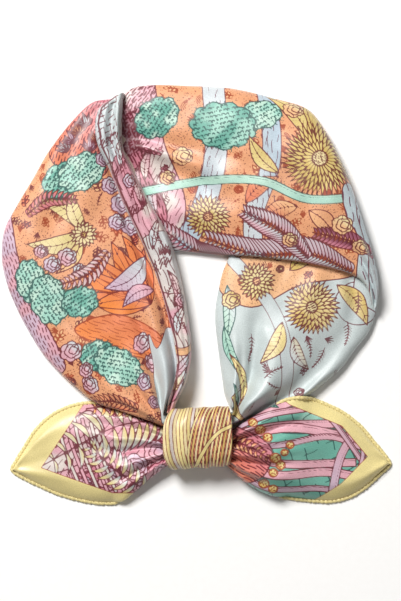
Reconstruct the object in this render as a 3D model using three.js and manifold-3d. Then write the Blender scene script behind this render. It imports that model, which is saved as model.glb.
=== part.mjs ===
// A small silk square scarf, 530 mm on a side, folded on the bias into a band, wound into
// a loop and knotted, with the square's two opposite corners as leaf-shaped tails.
// It lies flat on a table. Units are millimetres, +Z is up, the table is Z = 0, +X runs
// to the right tail and +Y away from the knot. The origin is the middle of the outline.
import * as THREE from 'three';
import Module from 'manifold-3d';

const wasm = await Module();
wasm.setup();

// Driving sizes
const GAP = 0.3; // clearance between pieces that lie on each other
const RIM = 3.2; // height of the two folded layers that show along a band's edge
const LAYER = 1.6; // thickness of one folded layer at the edge
const GROOVE = 1.1; // depth of the groove between those layers
const TUCK = 1.4; // how far the underside stays inside the edge
const HEM_WIDTH = 2.4; // rolled hem along the two cut edges of a corner
const HEM_HEIGHT = 1.9;
const KNOT_WALL = 2.0; // the wrap round the knot
const KNOT_MOUTH = 5; // how far the stretches run in under the wrap
const KNOT_TOP = 21; // height of the knot
const CUT_DEPTH = 5; // how far a cutter reaches below the table

// Steps of the modelled surfaces
const ACROSS = 12; // facets over the crown of a section

const columns = (names, rows) =>
  rows.map((row) => Object.fromEntries(names.split(' ').map((name, i) => [name, row[i]])));

// Each band or tail is a table of sections. A section is a straight line in plan from rail a
// to rail b. aRest and bRest are the heights that its edges lie at, and top is its crown.
const SECTION = 'ax ay aRest bx by bRest top';
// A fold runs from section "from" to section "to", both counted 0 to 1 along the piece, at the
// share across that startsAt and endsAt give. It is a ridge, or a trough where lift is negative.
const FOLD = 'from to startsAt endsAt width lift';

const LEFT_ARM = {
  sections: columns(SECTION, [
    [-14.5, -71.0, 0, -14.5, -64.5, 0, 13],
    [-18.2, -70.5, 0, -17.6, -62.8, 0, 14],
    [-25.5, -67.5, 0, -15.5, -58.0, 0, 15],
    [-41.5, -62.0, 0, -9.5, -46.5, 0, 15],
    [-54.5, -58.0, 0, -8.0, -34.5, 0, 14.5],
    [-64.5, -51.0, 0, -9.0, -24.5, 0, 13.5],
    [-82.0, -33.5, 0, -13.5, -2.0, 0, 12],
    [-90.0, -21.5, 0, -17.5, 8.5, 0, 11.5],
    [-97.5, -7.5, 0, -21.5, 18.5, 0, 11],
    [-103.3, 7.0, 0, -26.0, 27.5, 0, 11],
    [-106.0, 21.5, 0, -31.0, 38.0, 0, 10.5],
    [-104.4, 36.0, 0, -35.5, 49.0, 0, 10],
    [-97.2, 50.0, 0, -40.5, 61.5, 0, 10],
    [-88.8, 64.0, 0, -44.5, 70.5, 0, 9.5],
    [-80.8, 78.0, 0, -47.5, 79.0, 0, 9],
    [-66.8, 96.0, 0, -49.0, 88.5, 0, 7],
    [-56.3, 105.3, 0, -47.0, 94.5, 0, 6],
    [-46.5, 107.0, 0, -42.5, 96.0, 0, 5],
  ]),
  folds: columns(FOLD, [
    [0.05, 0.42, 0.7, 0.84, 3.4, 2.2],
    [0.05, 0.36, 0.5, 0.72, 3.0, -2.0],
    [0.05, 0.4, 0.36, 0.56, 3.6, 1.4],
    [0.08, 0.36, 0.2, 0.4, 3.4, -1.3],
  ]),
  steps: 26,
};

const INNER_ROLL = {
  sections: columns(SECTION, [
    [-45.5, 107.0, 4, -39.5, 110.0, 8, 12],
    [-53.0, 101.0, 5, -40.0, 104.5, 8, 14.5],
    [-55.0, 92.0, 7, -40.5, 94.0, 8, 16],
    [-53.5, 81.5, 8, -40.0, 81.0, 8, 16.5],
    [-47.5, 68.5, 8, -34.8, 68.5, 8, 16.5],
    [-40.0, 50.0, 8, -25.0, 50.0, 8, 16],
    [-31.0, 31.5, 9, -15.0, 31.5, 5, 15],
    [-22.5, 12.0, 9, -9.0, 12.0, 0, 14],
    [-16.0, -9.5, 9, -5.0, -9.0, 0, 13.5],
    [-12.5, -24.5, 8, -3.0, -24.5, 0, 13.5],
    [-11.0, -36.0, 8, -3.2, -36.0, 0, 13.5],
    [-12.4, -47.0, 8, -5.6, -47.0, 0, 14],
    [-15.2, -56.0, 8, -10.4, -56.5, 2, 14.5],
    [-16.2, -63.0, 8, -13.0, -63.5, 4, 14],
  ]),
  folds: columns(FOLD, [
    [0.06, 0.5, 0.62, 0.45, 2.4, -1.5],
    [0.45, 0.95, 0.4, 0.55, 2.6, 0.9],
  ]),
  steps: 24,
  facets: 8,
};

const BACK = {
  sections: columns(SECTION, [
    [-29.5, 31.0, 0, -48.0, 103.5, 0, 6],
    [-21.0, 27.6, 0, -41.5, 108.0, 0, 8],
    [-12.0, 24.5, 0, -34.5, 113.0, 0, 10],
    [-5.0, 24.0, 0, -25.5, 114.5, 0, 11],
    [9.5, 22.5, 2, -4.0, 114.0, 0, 12.5],
    [19.0, 22.0, 6, 8.0, 113.5, 0, 13.5],
    [28.5, 21.5, 8.5, 19.5, 112.5, 0, 14.5],
    [47.5, 19.5, 9, 41.0, 107.5, 0, 15.5],
    [62.5, 17.0, 9, 60.5, 101.0, 0, 16],
    [74.5, 14.5, 9, 70.0, 89.0, 0, 16],
    [83.5, 11.5, 8.5, 80.0, 69.0, 0, 15.5],
    [89.5, 7.5, 7.5, 88.5, 45.5, 0, 14.5],
    [93.5, 0.5, 5, 96.0, 20.5, 0, 12.5],
    [94.5, -4.0, 3, 98.5, 8.5, 0, 11],
    [95.8, -7.5, 1, 98.6, -1.0, 0, 8.5],
  ]),
  folds: columns(FOLD, [
    [0.0, 0.55, 0.36, 0.2, 7.0, -1.8],
    [0.05, 0.7, 0.62, 0.45, 8.0, 1.2],
    [0.55, 1.0, 0.3, 0.34, 6.0, -1.4],
  ]),
  steps: 25,
};

const RIGHT_ARM = {
  sections: columns(SECTION, [
    [23.0, 38.5, 0, 87.0, 29.5, 0, 6],
    [19.5, 29.5, 0, 92.0, 18.5, 0, 7],
    [17.0, 20.5, 0, 94.5, 6.0, 0, 8],
    [14.0, 13.0, 0, 96.8, -2.5, 0, 8.5],
    [11.5, 2.5, 0, 96.2, -9.5, 0, 9.5],
    [10.0, -7.0, 0, 92.5, -20.0, 0, 10],
    [10.0, -16.0, 0, 86.0, -29.0, 0, 10.5],
    [11.0, -24.5, 0, 78.5, -39.0, 0, 11],
    [12.0, -32.5, 0, 70.0, -46.5, 0, 11.5],
    [13.0, -40.0, 0, 61.0, -53.5, 0, 12],
    [14.0, -47.0, 0, 50.0, -58.5, 0, 13],
    [15.0, -53.5, 0, 38.5, -62.0, 0, 14],
    [17.6, -60.0, 0, 28.5, -65.5, 0, 14.5],
    [19.2, -62.5, 0, 21.4, -69.0, 0, 14],
    [15.5, -64.0, 0, 15.5, -70.0, 0, 13],
  ]),
  folds: columns(FOLD, [
    [0.45, 0.97, 0.5, 0.62, 5.0, 2.0],
    [0.42, 0.95, 0.25, 0.42, 3.6, -2.6],
    [0.5, 0.97, 0.1, 0.2, 2.6, 1.6],
    [0.12, 0.62, 0.82, 0.86, 5.5, -2.2],
  ]),
  steps: 24,
};

const LEFT_TAIL = {
  sections: columns(SECTION, [
    [-14.5, -73.0, 0, -14.5, -91.0, 0, 10.5],
    [-18.0, -71.5, 0, -18.0, -93.3, 0, 11],
    [-24.5, -67.5, 0, -25.0, -98.6, 0, 10.5],
    [-32.0, -63.0, 0, -33.0, -105.6, 0, 10],
    [-41.0, -59.2, 0, -42.3, -112.7, 0, 9],
    [-50.0, -57.2, 0, -51.0, -113.6, 0, 8.4],
    [-59.0, -57.0, 0, -59.6, -112.6, 0, 7.8],
    [-67.5, -58.4, 0, -68.0, -110.7, 0, 7.0],
    [-76.0, -61.8, 0, -77.0, -107.9, 0, 6.2],
    [-83.0, -66.6, 0, -84.0, -104.8, 0, 5.6],
    [-89.4, -73.4, 0, -90.0, -102.1, 0, 4.9],
    [-93.8, -80.4, 0, -94.7, -99.7, 0, 4.2],
    [-98.4, -87.8, 0, -98.8, -97.4, 0, 3.4],
    [-101.6, -93.2, 0, -101.2, -95.8, 0, 2.6],
  ]),
  folds: columns(FOLD, [
    [0.05, 0.5, 0.3, 0.26, 3.0, 1.6],
    [0.05, 0.42, 0.48, 0.46, 2.8, -1.6],
    [0.05, 0.5, 0.66, 0.64, 3.2, 1.5],
    [0.05, 0.36, 0.84, 0.82, 2.4, -1.2],
  ]),
  steps: 20,
  hemFrom: 0.3,
};

const RIGHT_TAIL = {
  sections: columns(SECTION, [
    [15.5, -73.5, 2, 15.5, -91.0, 0, 12.5],
    [18.9, -72.4, 5, 18.9, -94.6, 0, 14.5],
    [25.0, -68.2, 8, 25.0, -100.2, 0, 15.5],
    [32.0, -63.9, 10, 32.5, -104.9, 0, 15.5],
    [39.0, -60.0, 11, 40.5, -108.7, 0, 15],
    [46.3, -55.6, 10.5, 49.0, -110.6, 0, 14],
    [54.0, -53.9, 8, 57.0, -111.7, 0, 12],
    [62.0, -54.6, 4, 65.0, -112.4, 0, 9.8],
    [70.0, -57.6, 1, 73.0, -112.6, 0, 8],
    [78.9, -61.8, 0, 81.9, -110.6, 0, 7],
    [84.8, -65.9, 0, 87.8, -107.7, 0, 6.2],
    [90.8, -71.2, 0, 93.7, -103.5, 0, 5.4],
    [96.7, -78.4, 0, 99.7, -97.9, 0, 4.6],
    [102.1, -84.8, 0, 104.4, -93.7, 0, 3.6],
    [105.5, -89.8, 0, 106.0, -92.2, 0, 2.6],
  ]),
  folds: columns(FOLD, [
    [0.05, 0.52, 0.24, 0.2, 3.0, 1.4],
    [0.05, 0.6, 0.42, 0.36, 3.2, -3.0],
    [0.05, 0.58, 0.6, 0.55, 3.4, 2.0],
    [0.05, 0.45, 0.78, 0.76, 2.6, -1.8],
    [0.05, 0.4, 0.9, 0.88, 2.2, 1.0],
  ]),
  steps: 21,
  hemFrom: 0.3,
};

// The wrap: a sleeve round the X axis, wider in plan at its middle than at its two rims.
const KNOT = {
  left: { x: -18.4, pinch: 4.0, y: -77.1, half: 16.3 },
  right: { x: 18.9, pinch: 1.4, y: -75.4, half: 16.1 },
  squareness: 2.7,
  sink: 0.7, // the sleeve is flattened against the table by this much
  waist: 0.5, // the wrap is this much lower at its two rims than in its middle
};

const curveOf = (sections, pick) =>
  new THREE.CatmullRomCurve3(sections.map(pick), false, 'centripetal');

const smooth = (from, to, value) => THREE.MathUtils.smoothstep(value, from, to);

// Rails and crown height of a piece, as curves over 0 to 1 along it.
function railsOf({ sections }) {
  return {
    a: curveOf(sections, (row) => new THREE.Vector3(row.ax, row.ay, row.aRest)),
    b: curveOf(sections, (row) => new THREE.Vector3(row.bx, row.by, row.bRest)),
    top: curveOf(sections, (row, i) => new THREE.Vector3(i, row.top, 0)),
  };
}

// A rail moved towards the other one by a distance square to its own direction.
function insetPoint(rail, other, s, distance) {
  const along = rail.getTangent(s).setZ(0).normalize();
  const side = new THREE.Vector3(-along.y, along.x, 0);
  const point = rail.getPoint(s);
  const inward = other.getPoint(s).sub(point);
  point.z = Math.max(point.z, 0);
  return point.addScaledVector(side, Math.sign(side.dot(inward)) * distance);
}

// The folds' share of a section's height, faded out at the edges and at the folds' ends.
function foldHeight(folds, s, t, width) {
  const atEdges = smooth(0, 0.08, t) * smooth(0, 0.08, 1 - t);
  return folds.reduce((sum, fold) => {
    const run = (s - fold.from) / (fold.to - fold.from);
    if (run <= 0 || run >= 1) return sum;
    const centre = THREE.MathUtils.lerp(fold.startsAt, fold.endsAt, run);
    const away = ((t - centre) * width) / (fold.width * (0.7 + 0.9 * run));
    const fade = smooth(0, 0.12, run) * smooth(0, 0.55, 1 - run);
    return sum + fold.lift * fade * atEdges * Math.exp(-away * away);
  }, 0);
}

// One closed section of a piece. grow makes the same section larger all round, as a cutter.
function sectionRing(piece, rails, s, grow = 0) {
  const hemmed = piece.hemFrom === undefined ? 0 : smooth(piece.hemFrom - 0.1, piece.hemFrom, s);
  const hem = (HEM_WIDTH + GAP) * hemmed;
  const a = insetPoint(rails.a, rails.b, s, hem);
  const b = insetPoint(rails.b, rails.a, s, hem);
  const across = b.clone().sub(a).setZ(0);
  const width = across.length();
  across.normalize();
  const crown = rails.top.getPoint(s).y;
  const lift = Math.max(a.z, b.z);
  const thin = Math.min((crown - lift) / 6, width / 14);
  const scale = THREE.MathUtils.clamp(thin, 0.12, 1) * (1 - 0.5 * hemmed);
  const rim = RIM * scale;
  const groove = grow > 0 ? 0 : GROOVE * scale; // a cutter takes in the groove as well

  const place = (distance, z) =>
    new THREE.Vector3(a.x + across.x * distance, a.y + across.y * distance, z);
  const surface = (t) => {
    const edge = THREE.MathUtils.lerp(a.z, b.z, t) + rim;
    const bulge = Math.pow(1 - Math.pow(Math.abs(2 * t - 1), 2.6), 0.5);
    return edge + Math.max(crown - edge, 0.4) * bulge + foldHeight(piece.folds, s, t, width);
  };

  const crownPoints = [];
  const facets = piece.facets ?? ACROSS;
  for (let i = 0; i <= facets; i += 1) {
    const t = 0.5 - 0.5 * Math.cos((Math.PI * i) / facets);
    const inset = 0.35 * scale * (1 - 2 * t);
    crownPoints.push(place(t * width + inset + grow * (2 * t - 1), surface(t) + grow));
  }
  // The two layers that show at an edge, from the underside up.
  const edgeLayers = (rest, sign, origin) => {
    const at = (distance, z) => place(origin + sign * (distance - grow), z);
    const tuck = (TUCK + rest * 0.35) * scale;
    return [
      at(Math.min(tuck, width * 0.3), grow > 0 ? -CUT_DEPTH : 0),
      at(0, rest + 0.35 * scale),
      at(0, rest + LAYER * scale + grow),
      at(groove, rest + (LAYER + 0.35) * scale + grow),
      at(groove * 0.25, rest + (LAYER + 0.8) * scale + grow),
    ];
  };
  return [...edgeLayers(a.z, 1, 0), ...crownPoints, ...edgeLayers(b.z, -1, width).reverse()];
}

// A closed body over a row of rings that all have the same number of points.
function loft(rings) {
  const count = rings[0].length;
  const points = rings.flat();
  const triangles = [];
  for (let r = 0; r + 1 < rings.length; r += 1) {
    for (let i = 0; i < count; i += 1) {
      const next = (i + 1) % count;
      const [p, q] = [r * count + i, r * count + next];
      triangles.push([p, q, q + count], [p, q + count, p + count]);
    }
  }
  const last = (rings.length - 1) * count;
  [0, last].forEach((start) => {
    const middle = new THREE.Vector3();
    rings[start / count].forEach((point) => middle.addScaledVector(point, 1 / count));
    points.push(middle);
    for (let i = 0; i < count; i += 1) {
      const [p, q] = [start + i, start + ((i + 1) % count)];
      triangles.push(start === 0 ? [points.length - 1, q, p] : [points.length - 1, p, q]);
    }
  });
  const volume = triangles.reduce((sum, [p, q, r]) => {
    const cross = new THREE.Vector3().crossVectors(points[q], points[r]);
    return sum + points[p].dot(cross);
  }, 0);
  const facing = volume > 0 ? triangles : triangles.map(([p, q, r]) => [p, r, q]);
  return new wasm.Manifold(new wasm.Mesh({
    numProp: 3,
    vertProperties: new Float32Array(points.flatMap((point) => point.toArray())),
    triVerts: new Uint32Array(facing.flat()),
  }));
}

function bodyOf(piece, grow = 0) {
  const rails = railsOf(piece);
  const end = piece.hemFrom === undefined ? 1 : 0.94;
  const rings = [];
  for (let i = 0; i <= piece.steps; i += 1) {
    rings.push(sectionRing(piece, rails, (end * i) / piece.steps, grow));
  }
  return loft(rings);
}

// The rolled hem: down one cut edge of the corner, round its point and back up the other.
function hemOf(piece) {
  const { a, b } = railsOf(piece);
  const stations = 18;
  const edge = (rail, other) => {
    const points = [];
    for (let i = 0; i < stations; i += 1) {
      const s = THREE.MathUtils.lerp(piece.hemFrom, 0.97, i / (stations - 1));
      points.push(insetPoint(rail, other, s, HEM_WIDTH / 2));
    }
    return points;
  };
  const point = a.getPoint(1).lerp(b.getPoint(1), 0.5);
  const outward = point.clone().sub(a.getPoint(0.9).lerp(b.getPoint(0.9), 0.5)).setZ(0).normalize();
  point.addScaledVector(outward, -HEM_WIDTH / 2);
  const path = new THREE.CatmullRomCurve3(
    [...edge(a, b), point, ...edge(b, a).reverse()],
    false,
    'centripetal',
  );
  const rings = [];
  const rounds = 6;
  const steps = 44;
  for (let i = 0; i <= steps; i += 1) {
    const centre = path.getPointAt(i / steps);
    const along = path.getTangentAt(i / steps).setZ(0).normalize();
    const side = new THREE.Vector3(-along.y, along.x, 0);
    const ring = [];
    for (let k = 0; k < rounds; k += 1) {
      const angle = (2 * Math.PI * (k + 0.5)) / rounds;
      const z = Math.max(centre.z, 0) + HEM_HEIGHT * (0.5 + 0.5 * Math.sin(angle));
      const point = centre.clone().addScaledVector(side, (HEM_WIDTH / 2) * Math.cos(angle));
      ring.push(point.setZ(z));
    }
    rings.push(ring);
  }
  return loft(rings);
}

// The knot's outer form, or a smaller one that lies "wall" inside it.
function sleeveOf(wall, startInset, endInset) {
  const { left, right, squareness, sink, waist } = KNOT;
  const stations = 6;
  const rounds = 26;
  const soft = (value) => Math.sign(value) * Math.pow(Math.abs(value), 2 / squareness);
  const rings = [];
  for (let i = 0; i <= stations; i += 1) {
    const u = i / stations;
    const middleY = THREE.MathUtils.lerp(left.y, right.y, u);
    const halfY = THREE.MathUtils.lerp(left.half, right.half, u) - wall;
    const halfZ = (KNOT_TOP + sink) / 2 - wall;
    const ring = [];
    for (let k = 0; k < rounds; k += 1) {
      const angle = (2 * Math.PI * k) / rounds;
      const v = soft(Math.cos(angle));
      const w = soft(Math.sin(angle));
      const start = left.x + startInset + left.pinch * Math.abs(v) ** 3;
      const end = right.x - endInset - right.pinch * Math.abs(v) ** 3;
      const lowered = w > 0 ? waist * w * (2 * u - 1) ** 2 : 0;
      const z = (KNOT_TOP - sink) / 2 + w * halfZ - lowered;
      const x = THREE.MathUtils.lerp(start, end, u);
      ring.push(new THREE.Vector3(x, middleY + v * halfY, Math.max(z, wall)));
    }
    rings.push(ring);
  }
  return loft(rings);
}

const largest = (solid) =>
  solid.decompose().reduce((best, part) => (part.volume() > best.volume() ? part : best));

const cut = (solid, ...cutters) =>
  largest(cutters.reduce((left, cutter) => left.subtract(cutter), solid));

function meshOf(name, solid, material) {
  const { vertProperties, triVerts } = solid.getMesh();
  const geometry = new THREE.BufferGeometry();
  geometry.setAttribute('position', new THREE.Float32BufferAttribute(vertProperties, 3));
  geometry.setIndex([...triVerts]);
  geometry.computeVertexNormals();
  const mesh = new THREE.Mesh(geometry, material);
  mesh.name = name;
  return mesh;
}

const satin = (colour) =>
  new THREE.MeshStandardMaterial({ color: colour, roughness: 0.35, metalness: 0, side: THREE.FrontSide });

// The knot is one solid with a mouth at each end, where the stretches run in under the wrap.
// The second solid is the room that it needs among them.
function knotOf(grow) {
  const mouth = KNOT_MOUTH - grow;
  const tunnel = sleeveOf(KNOT_WALL + grow, -KNOT_WALL, -KNOT_WALL);
  return sleeveOf(-grow, -grow, -grow).subtract(tunnel.subtract(sleeveOf(0, mouth, mouth)));
}
const knot = knotOf(0);
const knotRoom = knotOf(GAP);

// The stretches, lowest first: each one is cut clear of those that it lies on
const rightArmRoom = bodyOf(RIGHT_ARM, GAP);
const leftTailRoom = bodyOf(LEFT_TAIL, GAP);
const leftArmRoom = bodyOf(LEFT_ARM, GAP);
const backRoom = bodyOf(BACK, GAP);

const rightArm = cut(bodyOf(RIGHT_ARM), knotRoom);
const leftTail = cut(bodyOf(LEFT_TAIL), knotRoom);
const leftArm = cut(bodyOf(LEFT_ARM), leftTailRoom, knotRoom);
const back = cut(bodyOf(BACK), rightArmRoom, leftArmRoom);
const innerRoll = cut(bodyOf(INNER_ROLL), leftArmRoom, backRoom, knotRoom, leftTailRoom);
const rightTail = cut(bodyOf(RIGHT_TAIL), rightArmRoom, knotRoom);
const leftHem = cut(hemOf(LEFT_TAIL), leftArmRoom);
const rightHem = cut(hemOf(RIGHT_TAIL), rightArmRoom);

const scarf = new THREE.Group();
scarf.add(
  meshOf('left_arm', leftArm, satin(0xdf9a6c)),
  meshOf('inner_roll', innerRoll, satin(0xd8c9c4)),
  meshOf('back_stretch', back, satin(0xdba06e)),
  meshOf('right_arm', rightArm, satin(0xb9c3c4)),
  meshOf('left_tail', leftTail, satin(0xc98f9b)),
  meshOf('right_tail', rightTail, satin(0x77a9a0)),
  meshOf('left_tail_hem', leftHem, satin(0xdcc97a)),
  meshOf('right_tail_hem', rightHem, satin(0xdcc97a)),
  meshOf('knot_wrap', knot, satin(0xd9bd5a)),
);

// The origin goes under the middle of the outline
const middle = new THREE.Box3().setFromObject(scarf).getCenter(new THREE.Vector3());
scarf.position.set(-middle.x, -middle.y, 0);

export default scarf;
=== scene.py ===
# %% [markdown]
# # A knotted silk square
# The real thing is one square of silk satin, 53 cm on a side and a tenth of a millimetre
# thick. It has been folded on the bias into a band, wound into a loop and tied once round
# itself, so that two opposite corners stand out of the knot as leaf-shaped tails.
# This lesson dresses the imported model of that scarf. It lays a skin of silk over each
# stretch, prints it, hems its corners, and lights it on a pale table.

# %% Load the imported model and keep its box
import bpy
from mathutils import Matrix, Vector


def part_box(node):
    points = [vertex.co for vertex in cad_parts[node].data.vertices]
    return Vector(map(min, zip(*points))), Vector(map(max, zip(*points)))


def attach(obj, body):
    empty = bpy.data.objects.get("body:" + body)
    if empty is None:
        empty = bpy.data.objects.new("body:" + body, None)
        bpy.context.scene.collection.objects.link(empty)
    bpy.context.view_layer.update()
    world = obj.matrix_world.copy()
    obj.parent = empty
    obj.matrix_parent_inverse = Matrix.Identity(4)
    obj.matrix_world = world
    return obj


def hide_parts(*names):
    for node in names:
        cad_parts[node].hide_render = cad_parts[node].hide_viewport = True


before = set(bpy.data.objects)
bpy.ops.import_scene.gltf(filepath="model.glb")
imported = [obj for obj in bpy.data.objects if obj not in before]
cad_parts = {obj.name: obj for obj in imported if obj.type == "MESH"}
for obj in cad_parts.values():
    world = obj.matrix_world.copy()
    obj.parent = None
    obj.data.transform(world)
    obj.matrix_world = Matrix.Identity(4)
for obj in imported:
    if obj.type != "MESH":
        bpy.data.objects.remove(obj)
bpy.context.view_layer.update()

# %% [markdown]
# ## Where things lie
# All the tables below are in millimetres on one drawing of the scarf seen from above, with X
# to the right and Y away from the knot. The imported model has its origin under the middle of
# the outline, so one shift takes the drawing to the model. The knot's box gives it.

# %% Units and the shift from the drawing to the model
import math
from collections import namedtuple

import bpy
import numpy as np

MM = 0.001
WRAP_MIDDLE = np.array([0.25, -76.35])  # the middle of the knot on the drawing
wrap_low, wrap_high = (np.array(corner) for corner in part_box("knot_wrap"))
SHIFT = (wrap_low + wrap_high)[:2] / 2 / MM - WRAP_MIDDLE
print("shift from the drawing to the model:", np.round(SHIFT, 3), "mm")


def to_model(points):
    """Points of the drawing in millimetres, as points of the model in metres."""
    moved = np.array(points, float)
    moved[..., :2] += SHIFT
    return moved * MM


# %% [markdown]
# ## Camera, table and light
# The photograph looks straight down, so the camera hangs over the middle of its frame with
# the image's top towards +Y. A long lens from 1.2 m keeps the raised knot from growing. The
# light is a soft box beyond the top of the frame and well to the left, which rakes the satin
# and throws short shadows to the lower right. A weak card and a pale surround fill them.

# %% Hang the camera over the middle of the frame
scene = bpy.context.scene
MM_PER_PIXEL = 0.54
FRAME_MM = np.array([401, 601]) * MM_PER_PIXEL
FRAME_MIDDLE = (1.9, -2.4)
CAMERA_HEIGHT = 1200
CLOTH_LEVEL = 8  # the height at which the scale is true
SENSOR = 36


def hang_camera():
    """A camera that looks straight down on the frame."""
    data = bpy.data.cameras.new("Overhead camera")
    data.sensor_fit = "VERTICAL"
    data.sensor_height = SENSOR
    data.lens = SENSOR * (CAMERA_HEIGHT - CLOTH_LEVEL) / FRAME_MM[1]
    data.clip_start = 0.05
    camera = bpy.data.objects.new("Overhead camera", data)
    camera.location = to_model([*FRAME_MIDDLE, CAMERA_HEIGHT])
    scene.collection.objects.link(camera)
    scene.camera = camera
    return camera


print("lens:", round(hang_camera().data.lens, 1), "mm")

# %% [markdown]
# ## The table and the lamps
# The scarf lies on plain pale paper. A plane with a faint grain stands for it, and area lamps
# stand for the soft box and a white card. A picture of a studio could light the scene too,
# but lamps can be moved one at a time. The helpers below set nodes by name, so that each
# material reads as a short list.

# %% Set shader nodes by name
def set_node(tree, node, values):
    """Set a node's own settings, and set or link its inputs, all by name."""
    for name, value in values.items():
        if hasattr(node, name):
            setattr(node, name, value)
        elif isinstance(value, bpy.types.NodeSocket):
            tree.links.new(value, node.inputs[name.replace("_", " ")])
        else:
            node.inputs[name.replace("_", " ")].default_value = value
    return node


def tree_node(tree, kind, **values):
    """A new shader node with its settings and inputs."""
    return set_node(tree, tree.nodes.new(kind), values)


def mix_node(tree, share, first, second, blend="MIX"):
    """The output of a node that mixes two colours."""
    given = {"blend_type": blend, "Factor": share, "A": first, "B": second}
    return tree_node(tree, "ShaderNodeMix", data_type="RGBA", **given).outputs["Result"]


def new_material(name, **values):
    """A material, its tree and its Principled shader with these inputs."""
    material = bpy.data.materials.new(name)
    material.use_nodes = True
    tree = material.node_tree
    return material, tree, set_node(tree, tree.nodes["Principled BSDF"], values)


# %% Lay a pale table and hang the soft box
TABLE_HALF = 1.5  # half its side, in metres
TABLE_DROP = 0.0001  # keeps it just under the lowest silk


def lay_table():
    """The pale surface that the scarf lies on."""
    mesh = bpy.data.meshes.new("Pale table")
    corners = [(x * TABLE_HALF, y * TABLE_HALF, 0) for x, y in ((-1, -1), (1, -1), (1, 1), (-1, 1))]
    mesh.from_pydata(corners, [], [(0, 1, 2, 3)])
    table = bpy.data.objects.new("Pale table", mesh)
    table.location.z = -TABLE_DROP
    material, tree, shader = new_material("Pale table paint", Roughness=0.9)
    grain = tree_node(tree, "ShaderNodeTexNoise", Scale=900.0, Detail=2.0)
    tint = mix_node(tree, grain.outputs["Fac"], (0.90, 0.895, 0.89, 1), (0.93, 0.93, 0.93, 1))
    tree.links.new(tint, shader.inputs["Base Color"])
    mesh.materials.append(material)
    scene.collection.objects.link(table)


Lamp = namedtuple("Lamp", "name place size power colour")
LAMPS = [
    Lamp("Soft box beyond the top", (-780, 1120, 1580), 0.7, 60.5, (1.0, 0.99, 0.97)),
    Lamp("Card at the right", (900, -900, 1300), 0.8, 4.0, (1.0, 0.98, 0.95)),
]


def hang_lamps():
    """Area lamps that face the middle of the scarf."""
    for lamp in LAMPS:
        data = bpy.data.lights.new(lamp.name, "AREA")
        data.size = lamp.size
        data.energy = lamp.power
        data.color = lamp.colour
        light = bpy.data.objects.new(lamp.name, data)
        light.location = np.array(lamp.place) * MM
        light.rotation_euler = (-light.location).to_track_quat("-Z", "Y").to_euler()
        scene.collection.objects.link(light)


def set_surround():
    """An even pale surround."""
    world = bpy.data.worlds.new("Pale surround")
    world.use_nodes = True
    tree = world.node_tree
    set_node(tree, tree.nodes["Background"], {"Color": (1.0, 0.965, 0.93, 1), "Strength": 0.105})
    scene.world = world
    scene.view_settings.view_transform = "Standard"


lay_table()
hang_lamps()
set_surround()
print("lamps:", [(lamp.name, lamp.power) for lamp in LAMPS])

# %% [markdown]
# ## The shape of each stretch
# A stretch of the band is a flattened roll of silk. From above it is the room between two
# rails, and it rises from a layered edge over a low crown to the other edge. So each one is
# a short table of sections, a row for each straight line in plan from rail a to rail b, with
# the crown's height there. Gathers and creases are rows of their own: a soft ridge, or a
# trough where the lift is negative, strongest where it starts and dying away towards its
# end. Sculpting or cloth simulation could make them too, but they would not put each crease
# of a tied scarf where it is.

# %% Name the columns of the tables
Section = namedtuple("Section", "ax ay bx by top")
Crease = namedtuple("Crease", "start end at_start at_end width lift")


def rows_of(kind, rows):
    """Rows of numbers as records with named columns."""
    return [kind(*row) for row in rows]


def tell(name, sections, creases):
    """Print how many rows a stretch has."""
    print(name, "has", len(sections), "sections and", len(creases), "creases")


# %% Shape the left arm
LEFT_ARM = rows_of(Section, [
    (-14.5, -71.0, -14.5, -64.5, 13),
    (-18.2, -70.5, -17.6, -62.8, 14),
    (-25.5, -67.5, -15.5, -58.0, 15),
    (-41.5, -62.0, -9.5, -46.5, 15),
    (-54.5, -58.0, -8.0, -34.5, 14.5),
    (-64.5, -51.0, -9.0, -24.5, 13.5),
    (-82.0, -33.5, -13.5, -2.0, 12),
    (-90.0, -21.5, -17.5, 8.5, 11.5),
    (-97.5, -7.5, -21.5, 18.5, 11),
    (-103.3, 7.0, -26.0, 27.5, 11),
    (-106.0, 21.5, -31.0, 38.0, 10.5),
    (-104.4, 36.0, -35.5, 49.0, 10),
    (-97.2, 50.0, -40.5, 61.5, 10),
    (-88.8, 64.0, -44.5, 70.5, 9.5),
    (-80.8, 78.0, -47.5, 79.0, 9),
    (-66.8, 96.0, -49.0, 88.5, 7),
    (-56.3, 105.3, -47.0, 94.5, 6),
    (-46.5, 107.0, -42.5, 96.0, 5),
])
LEFT_ARM_CREASES = rows_of(Crease, [
    (0.01, 0.50, 0.76, 0.88, 3.0, 4.2),
    (0.01, 0.46, 0.60, 0.76, 2.2, -4.4),
    (0.01, 0.40, 0.46, 0.62, 2.6, 2.4),
    (0.01, 0.36, 0.32, 0.50, 2.0, -2.2),
    (0.01, 0.44, 0.16, 0.30, 3.0, 1.5),
    (0.02, 0.30, 0.08, 0.16, 1.6, -0.9),
    (0.02, 1.30, 0.91, 0.95, 1.7, -2.6),
    (0.98, 0.55, 0.30, 0.52, 6.0, -1.2),
    (0.98, 0.50, 0.70, 0.66, 5.0, 1.0),
    (0.80, 0.35, 0.18, 0.40, 7.0, 0.8),
])
tell("left arm", LEFT_ARM, LEFT_ARM_CREASES)

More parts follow.
